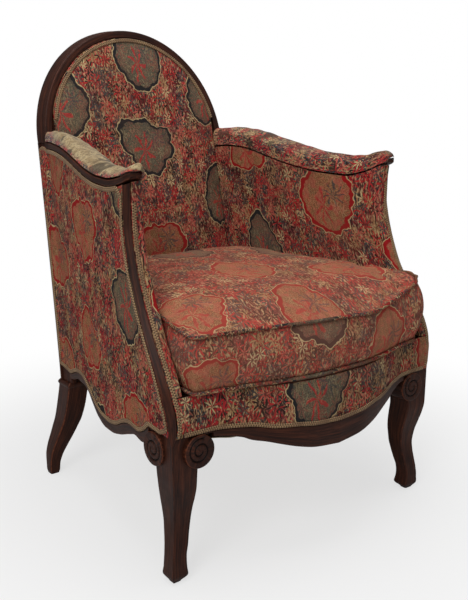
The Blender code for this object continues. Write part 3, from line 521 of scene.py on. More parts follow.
class Finish:
    """A material being made: its tree, coordinates and Principled shader."""

    def __init__(self, name):
        self.material = bpy.data.materials.new(name)
        self.material.use_nodes = True
        self.tree = self.material.node_tree
        self.shader = self.tree.nodes["Principled BSDF"]

    def add(self, kind, *values, settings=None, out=0, **named):
        return add_node(self.tree, kind, *values, settings=settings, out=out, **named)

    def lay(self, colour, below, mask):
        """A plain colour laid over another or over a socket's where the mask is 1."""
        return self.add("ShaderNodeMix", settings={"data_type": "RGBA"}, out="Result",
                        Factor=mask, A=below, B=colour)

    def place(self):
        """Where a point lies on the chair."""
        return self.add("ShaderNodeTexCoord", out="Object")

    def run(self):
        """The piece's own flat coordinates in metres, along its grain, its warp or its length."""
        return self.add("ShaderNodeUVMap", settings={"uv_map": "run"})

    def wear(self):
        """How rubbed a point is, or below zero how deep it lies in a hollow."""
        return self.add("ShaderNodeAttribute", settings={"attribute_name": "wear"}, out="Fac")

    def noise(self, where, scale, detail=2.0, rough=.5, twist=0.0, out=0):
        """Cloudy noise with this many patches a metre or so."""
        return self.add("ShaderNodeTexNoise", Vector=where, Scale=scale, Detail=detail, Roughness=rough,
                        Distortion=twist, out=out)

    def shake(self, flat):
        """Small moves either way that make the print's lines look drawn by hand."""
        return self.noise(flat, 55.0, 2.0, .5, out="Color").moved((-.5, -.5, -.5))

    def close(self, base, rough, height=None, depth=.001, normal=None, **fixed):
        """Links the colour, the roughness and a bump of this depth, and sets the fixed sockets."""
        for socket, value in (("Base Color", base), ("Roughness", rough)):
            if isinstance(value, Shade):
                self.tree.links.new(value.socket, self.shader.inputs[socket])
            else:
                self.shader.inputs[socket].default_value = (*value, 1) if socket == "Base Color" else value
        if height is not None:
            bump = self.add("ShaderNodeBump", Strength=1.0, Distance=depth, Height=height)
            self.tree.links.new(bump.socket, self.shader.inputs["Normal"])
        for socket, value in fixed.items():
            self.shader.inputs[socket.replace("_", " ")].default_value = value
        return self.material


# The faded print: large lobed and pointed medallions on a thicket of thin leaves, all from formulas.

RED, SALMON, DEEP = rgb(178, 44, 46), rgb(190, 92, 78), rgb(110, 32, 34)
CREAM, TAN, OCHRE = rgb(198, 176, 130), rgb(164, 132, 90), rgb(176, 132, 88)
SLATE, GREY, DARK = rgb(66, 70, 70), rgb(120, 114, 90), rgb(34, 30, 28)
MAUVE, BUFF = rgb(124, 60, 58), rgb(158, 112, 80)
STEP_X, STEP_Y = .178, .196  # the half-drop repeat of the medallions
TURN = 6.3  # about a full turn, over which a chance between 0 and 1 is spread
THREADS = 5200  # radians of the weave a metre, which is a pitch of 1.2 mm


def spray(a, b, blades, turn, length):
    """Thin leaves round a point: where cos(blades * angle) - 1 + 1.3 * (1 - r / length) is above 0, and r."""
    r = (a * a + b * b).math("SQRT")
    petal = (a.math("ARCTAN2", b) * blades + turn + r * 2.2 / length).cos()
    return petal - 1 + (1 - r / length) * 1.3, r


def leaf_ground(f, flat, shake):
    """A tan cloth crowded with sprays of red, dark and cream leaves about the points of three cell patterns."""
    flat = flat.moved(shake.scaled(.0045, .0045, 0))
    patchy = f.noise(flat, 18.0, 2.0, .5)
    stroke = f.noise(flat.scaled(1, .30, 1), 340.0, 1.0, .5)
    ground = f.lay(BUFF, MAUVE, patchy.ramp(.42, .58))
    ground = f.lay(DARK, ground, stroke.ramp(.54, .58) * .95)
    ground = f.lay(CREAM, ground, (stroke < .405) * .65)
    # Cells a metre, blades, where the pattern starts and its palette.
    layers = ((47, 9, 1.3, ((0, SLATE), (.28, DARK), (.50, MAUVE), (.70, SLATE), (.85, DEEP))),
              (40, 8, 4.2, ((0, RED), (.30, SALMON), (.50, RED), (.74, DEEP), (.88, SALMON))),
              (56, 7, 7.9, ((0, TAN), (.16, SLATE), (.34, RED), (.56, DARK), (.68, CREAM), (.76, SALMON),
                            (.88, SLATE))))
    settings = {"voronoi_dimensions": "2D"}
    for scale, blades, seed, palette in layers:
        cell = flat.scaled(scale, scale * .74, 1).moved((seed, seed * 1.7, 0))
        point, chance = (f.add("ShaderNodeTexVoronoi", Vector=cell, Scale=1.0, Randomness=.95, settings=settings,
                               out=out) for out in ("Position", "Color"))
        a, b, _ = f.add("ShaderNodeVectorMath", cell, point, settings={"operation": "SUBTRACT"}).parts()
        one, two, three = chance.parts()
        leaf, r = spray(a, b, blades, two * TURN, one * .25 + .58)
        tint = (one * 1.7 + two).part().tint(*palette, sharp=True)
        tint = f.lay(DARK, tint, (leaf < .20) * .60)
        tint = f.lay(DEEP, tint, (r < .10) * .7)
        ground = tint.over(ground, (leaf > 0) * (three > .14))
    sprig = f.noise(flat.scaled(1, .34, 1).moved((2.7, 5.1, 0)), 260.0, 1.0, .5)
    ground = f.lay(CREAM, ground, sprig.ramp(.62, .68) * .45)
    return f.lay(DARK, ground, (sprig < .38) * .6)


def medallions(f, ground, flat, shake):
    """Half-drop medallions in polar form: r = R(angle), with lobes, small cusps or a point, and a thin rim."""
    u, v, _ = flat.moved(shake.scaled(.016, .016, 0)).parts()
    column = (u / STEP_X).floor()
    up = v / STEP_Y + column * .5
    row = up.floor()
    cell = f.add("ShaderNodeCombineXYZ", column, row, 0.0)
    chance = f.add("ShaderNodeTexWhiteNoise", Vector=cell, settings={"noise_dimensions": "2D"}, out="Color")
    one, two, three = chance.parts()
    a = ((u / STEP_X - column - .5) * STEP_X - (one - .5) * .026) / (two * .30 + .84)
    b = (up - row - .5) * STEP_Y - (two - .5) * .030
    r = (a * a + b * b).math("SQRT")
    angle = a.math("ARCTAN2", b)
    top = (b / (r + .0001)).math("MAXIMUM", 0)
    pointed = top ** 6 * .34 + (angle * 13).cos() * .022 + (angle * 3 + one * 4).cos() * .05 + .92
    lobed = ((angle * 3 + one * TURN).cos() * .10 + (angle * 7 + two * TURN).cos() * .055
             + (angle * 16 + three * TURN).cos() * .022 + (angle * 2 + two * 9).cos() * .09 + .92)
    reach = (pointed + (lobed - pointed) * (three > .45)) * (one * .012 + .056)
    d = r / reach
    warm = (two + three * .7).part() > .45
    line = f.lay(rgb(150, 24, 28), rgb(34, 36, 38), warm)
    inner = f.lay(OCHRE, GREY, warm)
    stipple = f.noise(flat, 640.0, 1.0, .5)
    speck = f.lay(rgb(98, 42, 32), rgb(56, 54, 46), warm)
    inner = speck.over(inner, stipple.ramp(.44, .54) * .85)
    drift = f.noise(flat, 60.0, 2.0, .6)
    inner = f.lay(SALMON, inner, drift.ramp(.46, .60) * warm * .55)
    inner = f.lay(rgb(58, 56, 52), inner, d.ramp(.60, .95) * (1 - warm) * .6)
    stems, _ = spray(a * 1.7 + .012, b + .010, 7, one * TURN, .040)
    buds, _ = spray(a - .018, b - .014, 9, two * TURN, .026)
    inner = f.lay(RED, inner, (stems > 0) * .85)
    inner = f.lay(SLATE, inner, (buds > 0) * .85)
    inner = ground.over(inner, .26)
    inner = line.over(inner, d.ramp(.875, .895))
    whole = inner.over(ground, d < 1)
    whole = f.lay(CREAM, whole, (d > 1) * (d < 1.030) * .80)
    return f.lay(DARK, whole, (d > 1.030) * (d < 1.045) * .50)


def print_cloth(name, shift=(0, 0), fade=0.0, dirt_and_shade=.25, flip=1):
    """The printed cotton. shift places the repeat on this piece, fade bleaches it and the soiling greys it: brown
    clouds of dirt, which on the piping are set so high that they are also painted shade along the seams.
    """
    f = Finish(name)
    flat = f.run().scaled(flip, 1, 1).moved((*shift, 0))
    shake = f.shake(flat)
    painted = medallions(f, leaf_ground(f, flat, shake), flat, shake)
    painted = f.lay(rgb(214, 140, 112), painted, fade)
    place = f.place()
    cloud = f.noise(place, 9.0, 3.0, .6)
    # Brown clouds of dirt. On the piping the amount is high and is partly painted shade, standing for the shadow
    # along the cushion's seams.
    painted = f.lay(rgb(92, 64, 50), painted, cloud.ramp(.40, .75) * dirt_and_shade + .04)
    rubbed = f.wear()
    painted = f.lay(rgb(178, 150, 118), painted, rubbed.ramp(.1, .9) * .55)
    u, v, _ = f.run().parts()
    weave = (u * THREADS).cos() * (v * THREADS).cos()
    nap = f.noise(place, 700.0, 2.0, .6)
    return f.close(painted, .95, weave * .25 + nap, .00045, Specular_IOR_Level=.10)


def worn_cloth(name):
    """The arm tops: the print rubbed away to a pale, matted ground with remains, stains and a bare edge."""
    f = Finish(name)
    flat = f.run()
    left = leaf_ground(f, flat, f.shake(flat))
    place = f.place()
    matt = f.noise(place, 60.0, 4.0, .65)
    pale = matt.tint((.25, rgb(92, 76, 52)), (.42, rgb(140, 118, 84)), (.60, rgb(178, 158, 120)),
                     (.8, rgb(120, 98, 68)))
    scale = f.noise(place, 300.0, 2.0, .6)
    pale = f.lay(rgb(74, 58, 40), pale, scale.ramp(.53, .64) * .7)
    rubbed = f.wear() + (f.noise(place, 22.0, 3.0, .6) - .5) * .55
    shown = pale.over(left, rubbed.ramp(.28, .62))
    stain = f.noise(place, 34.0, 1.0, .4)
    shown = f.lay(rgb(52, 42, 28), shown, stain.ramp(.61, .67) * .75)
    return f.close(shown, .95, matt + scale * .6, .0012, Sheen_Weight=.15, Specular_IOR_Level=.15)


def braid(name):
    """Gimp: two rows of cream loops with darker gaps and painted shade where each loop dips, greyed by dust."""
    f = Finish(name)
    u, v, _ = f.run().parts()
    loops = (u * (2 * math.pi / LOOP) + (v > 0) * math.pi).cos()
    gap = (v * (math.pi / GIMP_HALF)).cos().size()
    # The loops term rises and falls with the braid's loop heights, so the dark brown where a loop dips is painted
    # shade.
    loop_shade_and_gaps = (loops * .5 + .5) * .6 + gap * .4
    cream = loop_shade_and_gaps.tint((.15, rgb(44, 30, 24)), (.45, rgb(112, 86, 62)), (.9, rgb(172, 142, 104)))
    dust = f.noise(f.place(), 38.0, 3.0, .6)
    cream = f.lay(rgb(96, 68, 52), cream, dust.ramp(.42, .7) * .60)
    return f.close(cream, .93, dust, .0003, Sheen_Weight=.1, Specular_IOR_Level=.2)


def show_wood(name):
    """Dark stained beech under old polish: grain along the piece, warm where hands and shoes rubbed it."""
    f = Finish(name)
    run, place = f.run(), f.place()
    grain = f.noise(run.scaled(420, 16, 1).moved(place.scaled(2, 2, 2)), 1.0, 4.0, .6, twist=.4)
    pores = f.noise(run.scaled(1500, 60, 1).moved(place.scaled(3, 3, 3)), 1.0, 2.0, .5)
    base = grain.tint((.30, rgb(32, 14, 9)), (.50, rgb(54, 26, 16)), (.72, rgb(82, 42, 26)))
    base = f.lay(rgb(18, 9, 6), base, pores.ramp(.56, .72) * .6)
    blotch = f.noise(place, 11.0, 3.0, .6)
    base = f.lay(rgb(22, 11, 9), base, blotch.ramp(.48, .72) * .6)
    rubbed = f.wear()
    knock = f.noise(place, 90.0, 3.0, .7)
    base = f.lay(rgb(132, 70, 44), base, (rubbed * 1.25 + (knock - .5) * 1.5).ramp(.55, 1.25) * .62)
    hollow = rubbed.ramp(-.1, -.9)
    base = f.lay(rgb(14, 8, 7), base, hollow * .9)
    rough = .36 + blotch * .22 + pores * .08
    return f.close(base, rough, pores * .5 + knock * .5, .00035, Specular_IOR_Level=.16)


def plain_wood(name):
    """Bare sawn beech inside the seat."""
    f = Finish(name)
    place = f.place()
    grain = f.noise(place.scaled(12, 140, 140), 1.0, 4.0, .6, twist=.3)
    base = grain.tint((.3, rgb(118, 88, 58)), (.6, rgb(168, 132, 92)), (.8, rgb(140, 106, 70)))
    return f.close(base, .75, grain, .0006)


def jute(name, dark, light, pitch):
    """Coarse plain weave of this pitch: crossed threads with slubs."""
    f = Finish(name)
    place = f.place()
    a, b, _ = place.parts()
    slub = f.noise(place, 180.0, 3.0, .7)
    turns = 2 * math.pi / pitch
    threads = (a * turns).cos() * (b * turns).cos() * .5 + .5
    base = (threads * .55 + slub * .6).tint((.2, dark), (.75, light))
    return f.close(base, .95, threads + slub, .0008, Specular_IOR_Level=.15)


def plain_cotton(name, light, dark):
    """Thin plain cotton, dusty, with soft blotches."""
    f = Finish(name)
    place = f.place()
    cloud = f.noise(place, 16.0, 4.0, .65)
    base = cloud.tint((.3, dark), (.62, light))
    fine = f.noise(place, 900.0, 2.0, .6)
    return f.close(base, .95, fine + cloud, .0005, Specular_IOR_Level=.15)


def spring_wire(name):
    """Dull drawn wire with a bloom of rust."""
    f = Finish(name)
    rust = f.noise(f.place(), 60.0, 4.0, .7)
    base = rust.tint((.40, rgb(96, 94, 92)), (.62, rgb(104, 66, 44)))
    return f.close(base, .45, rust, .0002, Metallic=.8)


WOOD = show_wood("dark_show_wood")
GIMP = braid("cream_gimp")
PALE = worn_cloth("rubbed_arm_cloth")
# The piping's heavy greying is partly painted shade: besides dirt, it darkens the cord to stand for the shadow along
# the cushion's seams.
CORD_SOILED_AND_SHADED = print_cloth("print_on_piping_soiled_and_shaded", (.31, .12), dirt_and_shade=.9)
PRINTS = {
    "outside_left": print_cloth("print_outside_left", (.052, -.045), dirt_and_shade=.12, flip=-1),
    "outside_right": print_cloth("print_outside_right", (.052, -.045), dirt_and_shade=.12),
    "inside_left": print_cloth("print_inside_left", (.010, .060), dirt_and_shade=.32),
    "inside_right": print_cloth("print_inside_right", (.055, .040), dirt_and_shade=.32, flip=-1),
    "back": print_cloth("print_inside_back", (.083, .030), dirt_and_shade=.22),
    "rear": print_cloth("print_outside_back", (.083, .120), dirt_and_shade=.30),
    "border": print_cloth("print_border", (.020, .105), dirt_and_shade=.35),
    "cushion": print_cloth("print_cushion", (.120, .070), fade=.16, dirt_and_shade=.12),
}
TICKING = plain_cotton("platform_cotton", rgb(150, 104, 84), rgb(108, 70, 58))
DUST = plain_cotton("dust_cloth", rgb(186, 166, 138), rgb(142, 122, 96))


# Wooden pieces.

def leg_ring(z):
    """The corners of the leg at heights z: a square whose outer front corner is a sharp ridge."""
    x, y, h = leg_x(z), leg_y(z), leg_h(z)
    return post_corners(z, x + h, y - h, y + h, x - h, x + h)


def post_ring(z):
    """The corners of the arm post at heights z, behind its show strip."""
    nx, ny = nose_x(z), nose_y(z)
    back = ny + post_back(z)
    return post_corners(z, nx, ny, back, nx - post_in(z), side_x(back, z) - COVER - .0022)


def post_corners(z, nx, ny, back, inner, outer):
    """Seven corners at each height z: the slanting strip round (nx, ny) and the square behind it."""
    half, deep = strip_wide(z) * math.sqrt(0.5) / 2, strip_deep(z)
    ring = [(nx - half, ny - half), (nx + half, ny + half), (nx + half - deep, ny + half + deep),
            (outer, back), (inner, back), (inner, ny - half + deep), (nx - half - deep, ny - half + deep)]
    return np.stack([grid(a, b, z) for a, b in ring], 1)


def ear(axis, centre, face, root, side):
    """A round ear with rolled edges and an incised spiral.

    A polar grid: r runs from 0 to size, and the face sinks by depth * exp(-((r - arm) / wide)^2), where the
    spiral's arm lies at r = outer - pitch * (turns so far). The edge rolls over in a quarter circle of radius rim.
    """
    depth, wide, outer, pitch, turns = .0024, .0015, .0212, .0092, 1.8
    size, rim = EAR_R + .0026, .0022
    a = np.linspace(0, 2 * math.pi, 97)[None, :]
    r = np.concatenate([np.linspace(0, size - rim, 46), size - rim * (1 - np.sin(np.linspace(.2, 1.57, 6)))])
    r = r[:, None]
    roll = share((r - size + rim) / rim)
    out = rim * (1 - np.sqrt(share(1 - roll ** 2)))
    spin = (a - 1.9) * (1 if axis else -1) * side % (2 * math.pi) / (2 * math.pi)
    arms = np.stack([outer - pitch * (spin + k) for k in range(3)])
    live = np.stack([(spin + k <= turns) + 0 * r for k in range(3)])
    groove = (np.exp(-((r - arms) / wide) ** 2) * live).max(0)
    eye = np.exp(-(r / .0022) ** 4)
    level = out + depth * groove - .0006 * eye
    front = np.zeros((*level.shape, 3))
    front[..., axis] = face + level * np.sign(root - face)
    front[..., 1 - axis] = centre[0] + r * np.cos(a)
    front[..., 2] = centre[1] + r * np.sin(a)
    wear = share(roll * 1.1) * .8 - groove
    deep = np.linspace(0, 1, 6)[:, None]
    drum = np.zeros((6, a.size, 3))
    drum[..., axis] = mix(front[-1, :, axis], root, deep)
    drum[..., 1 - axis], drum[..., 2] = front[-1, :, 1 - axis], front[-1, :, 2]
    return [patch(front, wear=wear), patch(drum), lid(drum[-1], 2)]


def front_post(side, tag):
    """Leg, knee and arm post of one piece: rings up the height, with an ear on each side of the knee."""
    low, high = np.linspace(0, KNEE_TOP, 100), np.linspace(POST_FOOT, POST_TOP, 130)
    between = np.linspace(0, 1, 8)[1:-1, None, None]
    legs, posts = leg_ring(low), post_ring(high)
    x, y = posts[..., 0], posts[..., 1]
    under = board_under(x, y) - POST_STOP
    level = POST_TOP - .04  # above this the rings tilt, so that the last one lies along the rail
    t = share((high[:, None] - level) / (POST_TOP - level))
    posts[..., 2] = mix(posts[..., 2], level + (under - level) * t, t > 0)
    rings = np.concatenate([legs, mix(legs[-1:], posts[:1], between), posts])
    z = rings[..., 2].mean(1, keepdims=True)
    foot = 1 - ease(z / .015)
    centre = rings.mean(1, keepdims=True)
    rings[..., :2] = mix(rings[..., :2], centre[..., :2], (.42 * foot ** 2)[..., None])
    soft = ease((.20 - z) / .03)
    crisp, round_edge = .0006 + 0 * z, mix(.0012, .0042, soft)
    radii = np.concatenate([crisp] * 3 + [round_edge] * 3 + [crisp], 1)
    points, edge = rounded(rings, radii)
    show = np.zeros(points.shape[:2])
    show[:, :10] = 1
    show[:, 15:30] = .7 * soft
    knock = .5 + .5 * ripple(points[..., 2] * 2, points[..., 0], .05, 3.1)
    patches = tube(points, edge * show * (.45 + .55 * knock))
    patches += ear(1, (EAR_X, EAR_Z), KNEE_Y - .0075, -.3000, side)
    patches += ear(0, (KNEE_Y + EAR_IN, EAR_Z), KNEE_X + .0052, .2600, side)
    post = build("front_post_" + tag, patches, side, sharp=46)
    dress(post, WOOD, "show_wood", "front_post_" + tag)


def rear_leg(side, tag):
    """A splayed square leg with rounded edges and a small collar bead under the stile."""
    z = np.linspace(0, LEG_TOP, 110)
    proud, level, half = .0024, .1990, .0042
    bead = proud * np.sqrt(share(1 - ((z - level) / half) ** 2))
    x, y, h = rear_x(z), rear_y(z), rear_h(z) + bead
    h = h - .0015 * (1 - ease(z / .010)) ** 2
    corners = np.stack([grid(x + a * h, y + b * h, z)
                        for a, b in ((-1, -1), (1, -1), (1, 1), (-1, 1))], 1)
    wooden("rear_leg_" + tag, corners, .0038, (.8, .8, .8, .8), side, sharp=40)


# The hoop's section as inset from the outer edge, depth from the front plane and corner radius.
HOOP = ((0, 0, .0030), (0, .0068, .0010), (.0013, .0082, .0006), (.0013, .0098, .0006), (0, .0112, .0010),
        (-.0010, .0270, .0100), (0, FRAME_DEEP, .0045), (SHOW_WIDE, FRAME_DEEP, .0012),
        (SHOW_WIDE, REBATE_BACK, .0003), (TONGUE, REBATE_BACK, .0003), (TONGUE, REBATE_FRONT, .0003),
        (SHOW_WIDE, REBATE_FRONT, .0003), (SHOW_WIDE, 0, .0018))


# The stile's section: stepped in behind the outside cover, which runs back over it.
STILE = ((COVER + .0004, 0, .0028), (COVER + .0004, STILE_LAP + .0004, .0003), (0, STILE_LAP + .0004, .0006),
         (0, FRAME_DEEP, .0030)) + HOOP[7:]


def hoop_piece(name, section, places, side=1):
    """A length of the back frame: the section placed by a function of inset, lofted along the frame."""
    ring = []
    for inset, deep, _ in section:
        x, z = places(inset)
        ring.append(grid(x, back_y(z) + deep, z))
    points, edge = rounded(np.stack(ring, 1), [r for _, _, r in section], 3)
    show, groove = np.zeros(points.shape[1]), np.zeros(points.shape[1])
    show[:4], show[-4:] = .8, .7
    if section is HOOP:
        show[4:8], show[20:28], groove[8:16] = .8, .6, -.55
    knock = .55 + .45 * ripple(points[..., 0], points[..., 2], .13, 2.2)
    piece = build(name, tube(points, edge * show * knock + groove), side)
    dress(piece, WOOD, "show_wood", name)


def back_frame():
    """The hoop: a straight stile on each side and the half ellipse of the arch over them."""
    z = np.linspace(LEG_TOP + .0004, ARCH_BASE - .0004, 110)
    for side, tag in SIDES:
        hoop_piece("back_stile_" + tag, STILE, lambda inset: (stile_x(z) - inset, z), side)
    hoop_piece("crest_rail", HOOP, lambda inset: arch(np.linspace(0, math.pi, 181), inset))


def front_rail():
    """The bowed and shaped front rail: a five-sided section with a rounded lower edge."""
    half = np.linspace(0, .2165, 90)
    x = np.concatenate([[-.2412, -.2168], -half[:0:-1], half, [.2168, .2412]])
    ends = abs(x) > .2166
    y, wood = front_plan(abs(x)), front_wood(abs(x))
    low = np.where(ends, EAR_Z + EAR_R + .0005, front_low(abs(x)))
    ring = [(y, low), (y, wood), (y + REBATE, wood), (y + REBATE, RAIL_TOP + 0 * x),
            (y + .026, RAIL_TOP + 0 * x), (y + .026, low)]
    corners = np.stack([grid(x, a, b) for a, b in ring], 1)
    wooden("front_rail", corners, [.0026, .0010, .0003, .0003, .0003, .0020], (.9, .35, 0, 0, 0, 0),
           knocked=(.11, 4.4))


def side_rail(side, tag):
    """The shaped side rail: the same section swept along the side's plan."""
    ear_back = KNEE_Y + EAR_IN + EAR_R
    y = np.concatenate([[-.2812, ear_back + .0003], np.linspace(ear_back + .0006, RAIL_END, 110)])
    ends = y < ear_back + .0005
    x, wood = side_x(y, .25), side_wood(y)
    upper = side_x(y, RAIL_TOP) - REBATE
    low = np.where(ends, EAR_Z + EAR_R + .0005, side_low(y))
    ring = [(x, low), (x, wood), (np.minimum(x - REBATE, upper), wood), (upper, RAIL_TOP + 0 * y),
            (x - RAIL_THICK, RAIL_TOP + 0 * y), (x - RAIL_THICK, low)]
    corners = np.stack([grid(a, y, b) for a, b in ring], 1)
    last = corners[-1]
    last[:, 1] = back_y(last[:, 2]) - .0004
    last[:, 0] -= side_x(RAIL_END, last[:, 2]) - side_x(last[:, 1], last[:, 2])
    wooden("side_rail_" + tag, corners, [.0024, .0010, .0003, .0003, .0003, .0020], (.8, .3, 0, 0, 0, 0), side)


def arm_rail(side, tag):
    """The arm rail: a four-sided board under the stuffing, its outer edge rounded and showing."""
    y = np.linspace(ARM_TIP, ARM_END, 150)
    out_x, out_low, out_top, in_x, in_low, in_top = arm_board(y)
    ring = [(out_x, out_low), (out_x, out_top), (in_x, in_top), (in_x, in_low)]
    corners = np.stack([grid(a, y, b) for a, b in ring], 1)
    corners[-1, :, 1] = back_y(corners[-1, :, 2]) - .0004
    wooden("arm_rail_" + tag, corners, [.0022, .0016, .0006, .0010], (.7, .7, 0, 0), side, sharp=50)


# Covers.

def outside_arm(side, tag):
    """The outside cover, stretched flush between strip, arm rail and show wood, and lapped over the stile."""
    u, t = np.meshgrid(np.concatenate([np.linspace(0, 1, 110), np.linspace(1, 2, 34)[1:]]), np.linspace(0, 1, 100))
    lap = np.maximum(u - 1, 0)
    z = mix(.25, .61, t)
    for _ in range(SETTLE):
        front = strip_side(np.clip(z, STRIP_LOW, POST_TOP))[1] + .0018
        y = mix(front, back_y(z), np.minimum(u, 1)) + lap * STILE_LAP
        top = board_under(side_x(y, z) - COVER, y) - OUT_STOP + .0080 * 4 * lap * (1 - lap)
        z = mix(side_wood(y) + .0020, top, t)
    long, high = .44, .38
    edge = np.minimum.reduce([u * long, (2 - u) * .04, t * high, (1 - t) * high])  # the way to the nearest edge
    tuck = share(1 - edge / .0035) ** 2 * .0012
    proud = .0030 * np.exp(-((z - .585) / .090) ** 2) * ease(lap * 3)
    slack = .0011 * ripple(y, z, .16, 1.0 + side) * ease(edge / .05)
    x = side_x(y, z) - tuck + proud + slack
    face = grid(x, y, z)
    hidden = grid(side_x(y, z) - COVER, y + (u == 0) * (COVER + .0020), z)
    cover = build("outside_arm_" + tag, closed_sheet(face, hidden, grid(y, z)), side)
    dress(cover, PRINTS["outside_" + tag], "printed_cover", "outside_arm_" + tag, fill=.2)


def inside_arm(side, tag):
    """The inside cover: across the post's face, round a soft corner and along the arm to the back."""
    corner = .0070
    facing, bend, wall = 14, 10, 90
    s = np.concatenate([np.linspace(0, 1, facing, endpoint=False), np.linspace(1, 2, bend, endpoint=False),
                        np.linspace(2, 3, wall)])
    s, t = np.meshgrid(s, np.linspace(0, 1, 80))
    z = mix(SEAT_TOP, POST_TOP, t)
    for _ in range(SETTLE):
        front_x, front_y = strip_front(z)
        end = back_y(z) - .0008
        y_corner = front_y + corner
        in_front = inner_x(front_y, z)
        b = share(s - 1)
        bend_x = (1 - b) ** 2 * (in_front + corner) + 2 * b * (1 - b) * in_front + b * b * inner_x(y_corner, z)
        bend_y = (1 - b * b) * front_y + b * b * y_corner
        y = np.where(s < 1, front_y, np.where(s < 2, bend_y, mix(y_corner, end, share(s - 2))))
        x = np.where(s < 1, mix(front_x - .0008, in_front + corner, share(s)),
                     np.where(s < 2, bend_x, inner_x(y, z)))
        top = board_under(np.maximum(x, arm_board(y)[3]), y) - IN_STOP
        z = mix(SEAT_TOP + .0006, top, t)
    soft = ease((s - .2) / .8) * ease((3 - s) * 6) * ease((1 - t) * 8) * ease(t * 8)
    swell = .0016 * ripple(y, z, .12, 2.6 + side) * soft
    face = grid(x - swell * (s > 1.5), y - .0006 * soft * (s <= 1.5), z)
    post = nose_x(z) - post_in(z) - .0004
    x_hide = np.where(s < 2, np.maximum(x, post), np.minimum(x + .0055, np.where(y < front_y + .045, post, 1)))
    x_hide = np.where(s < 1, x - .0002 - COVER * (s < .05), x_hide)
    deep = np.where(s < 2, np.maximum(front_y + COVER, y), y)
    hidden = grid(x_hide, deep, z)
    uv = grid(lengths(face[40, :, :2]), z)
    cover = build("inside_arm_" + tag, closed_sheet(face, hidden, uv), side, sharp=60)
    dress(cover, PRINTS["inside_" + tag], "printed_cover", "inside_arm_" + tag, fill=.5)


def arm_pad(side, tag):
    """The stuffing over the arm rail: a smooth section through seven stations, closed by a round nose."""
    over, below = 44, 20
    y = np.linspace(ARM_TIP + .006, ARM_END, 150)
    out_x, _, out_top, in_x, in_low, in_top = arm_board(y)
    x0, top_x, top_z = inner_x(y, .62), crest_x(y), crest_z(y)
    keys = np.stack([
        grid(x0, y, in_low), grid(x0, y, in_low + .012),
        grid(x0 + .0020, y, top_z - .0105), grid(mix(x0, top_x, .55), y, top_z - .0022),
        grid(top_x, y, top_z),
        grid(mix(top_x, out_x, .62), y, mix(top_z, out_top + .006, .46)),
        grid(out_x - .0015, y, out_top + .0040)], 1)
    face = spline(keys, over)
    keep = np.linspace(0, 1, over)[None, :]
    hump = np.sin(math.pi * keep)
    lip = in_x - .0012
    under = spline(np.stack([
        grid(lip, y, in_low), grid(lip, y, mix(in_low, in_top, .9)),
        grid(lip, y, in_top + .0034),
        grid(mix(in_x, out_x - .0015, .5), y, mix(in_top, out_top, .5) + .0034),
        grid(out_x - .0015, y, out_top + .0034)], 1), below)
    lumps = .0012 * ripple(face[..., 1], face[..., 0] * 1.4, .055, 5.0 + side) * hump ** .5
    lumps += .0009 * ripple(face[..., 1] * 2, face[..., 0] * 2, .045, 7.0 + side) * hump ** .5
    face[..., 2] += lumps
    ring = np.concatenate([face, under[:, ::-1]], 1)
    ring[-1, :, 1] = back_y(ring[-1, :, 2]) - .0008
    beta = np.linspace(math.pi / 2, 0, 10)[:-1, None, None]
    middle = ring[0].mean(0)
    nose = middle + (ring[0] - middle) * np.cos(beta) ** .55
    nose[..., 1] = ring[0, 0, 1] - .0100 * np.sin(beta[..., 0])
    rings = np.concatenate([nose, ring])
    along = rings[..., 1]
    top = np.concatenate([hump ** .6, np.zeros((1, below))], 1)
    grade = .95 if side < 0 else .34
    wear = grade * top * (1 - .45 * ease((along - .12) / .07)) * ease((rings[..., 2] - .600) / .02)
    pad = build("arm_pad_" + tag, tube(rings, wear), side, sharp=60)
    dress(pad, PALE, "worn_arm_cover", "arm_pad_" + tag, fill=.7)


def spline(keys, count):
    """A Catmull-Rom curve through each row of keys, sampled evenly in parameter."""
    k = keys.shape[1]
    s = np.linspace(0, k - 1, count)
    i = np.minimum(s.astype(int), k - 2)
    t = (s - i)[None, :, None]
    p = np.concatenate([2 * keys[:, :1] - keys[:, 1:2], keys, 2 * keys[:, -1:] - keys[:, -2:-1]], 1)
    a, b, c, d = (p[:, i + j] for j in range(4))
    return .5 * (2 * b + (c - a) * t + (2 * a - 5 * b + 4 * c - d) * t ** 2 + (3 * b - a - 3 * c + d) * t ** 3)


def back_outline(inset, low, limit=None, straight=60, over=90, base=40):
    """The opening of the back frame: up one stile, over the arch, down and along the base, as x and z."""
    z = np.linspace(low, ARCH_BASE, straight)[:-1]
    right = grid(stile_x(z) - inset, z)
    top = np.stack(arch(np.linspace(0, math.pi, over), inset), -1)
    left = right[::-1] * (-1, 1)
    foot = grid(np.linspace(-right[0, 0], right[0, 0], base)[1:-1], np.full(base - 2, low))
    line = np.concatenate([right, top, left, foot])
    if limit:
        line[:, 0] = np.clip(line[:, 0], -limit, limit)
    return line


def panel(line, middle, count):
    """Rings from a closed outline to the point on the centre line at this height, with each ring's share."""
    f, centre = np.linspace(1, 0, count) ** .8, np.array((0, middle))
    line = np.concatenate([line, line[:1]])
    return f[:, None], centre + (line - centre) * f[:, None, None]


def inside_back():
    """The stuffed inside back: its crown is a smooth function of the way from the edge to the middle."""
    crown = curve((0, .0190), (.20, .0188), (.58, .0168), (.86, .0108), (.94, .0056), (1, .0016))
    f, flat = panel(back_outline(SHOW_WIDE + PLAY, SEAT_TOP + .0008, limit=INNER_BACK - .0010), .56, 46)
    x, z = flat[..., 0], flat[..., 1]
    out = crown(f) + .0012 * ripple(x, z, .17, 3.7) * ease((1 - f) * 6)
    face = grid(x, back_y(z) - out, z)
    rear = grid(x, back_y(z) + REBATE_FRONT - .0006, z)
    uv = grid(x, z * math.hypot(1, BACK_SLOPE))
    patches = [patch(face, uv), patch(rear, uv), patch(np.stack([face[0], rear[0]]))]
    back = build("inside_back", patches, sharp=60)
    dress(back, PRINTS["back"], "printed_cover", "inside_back", fill=.6)


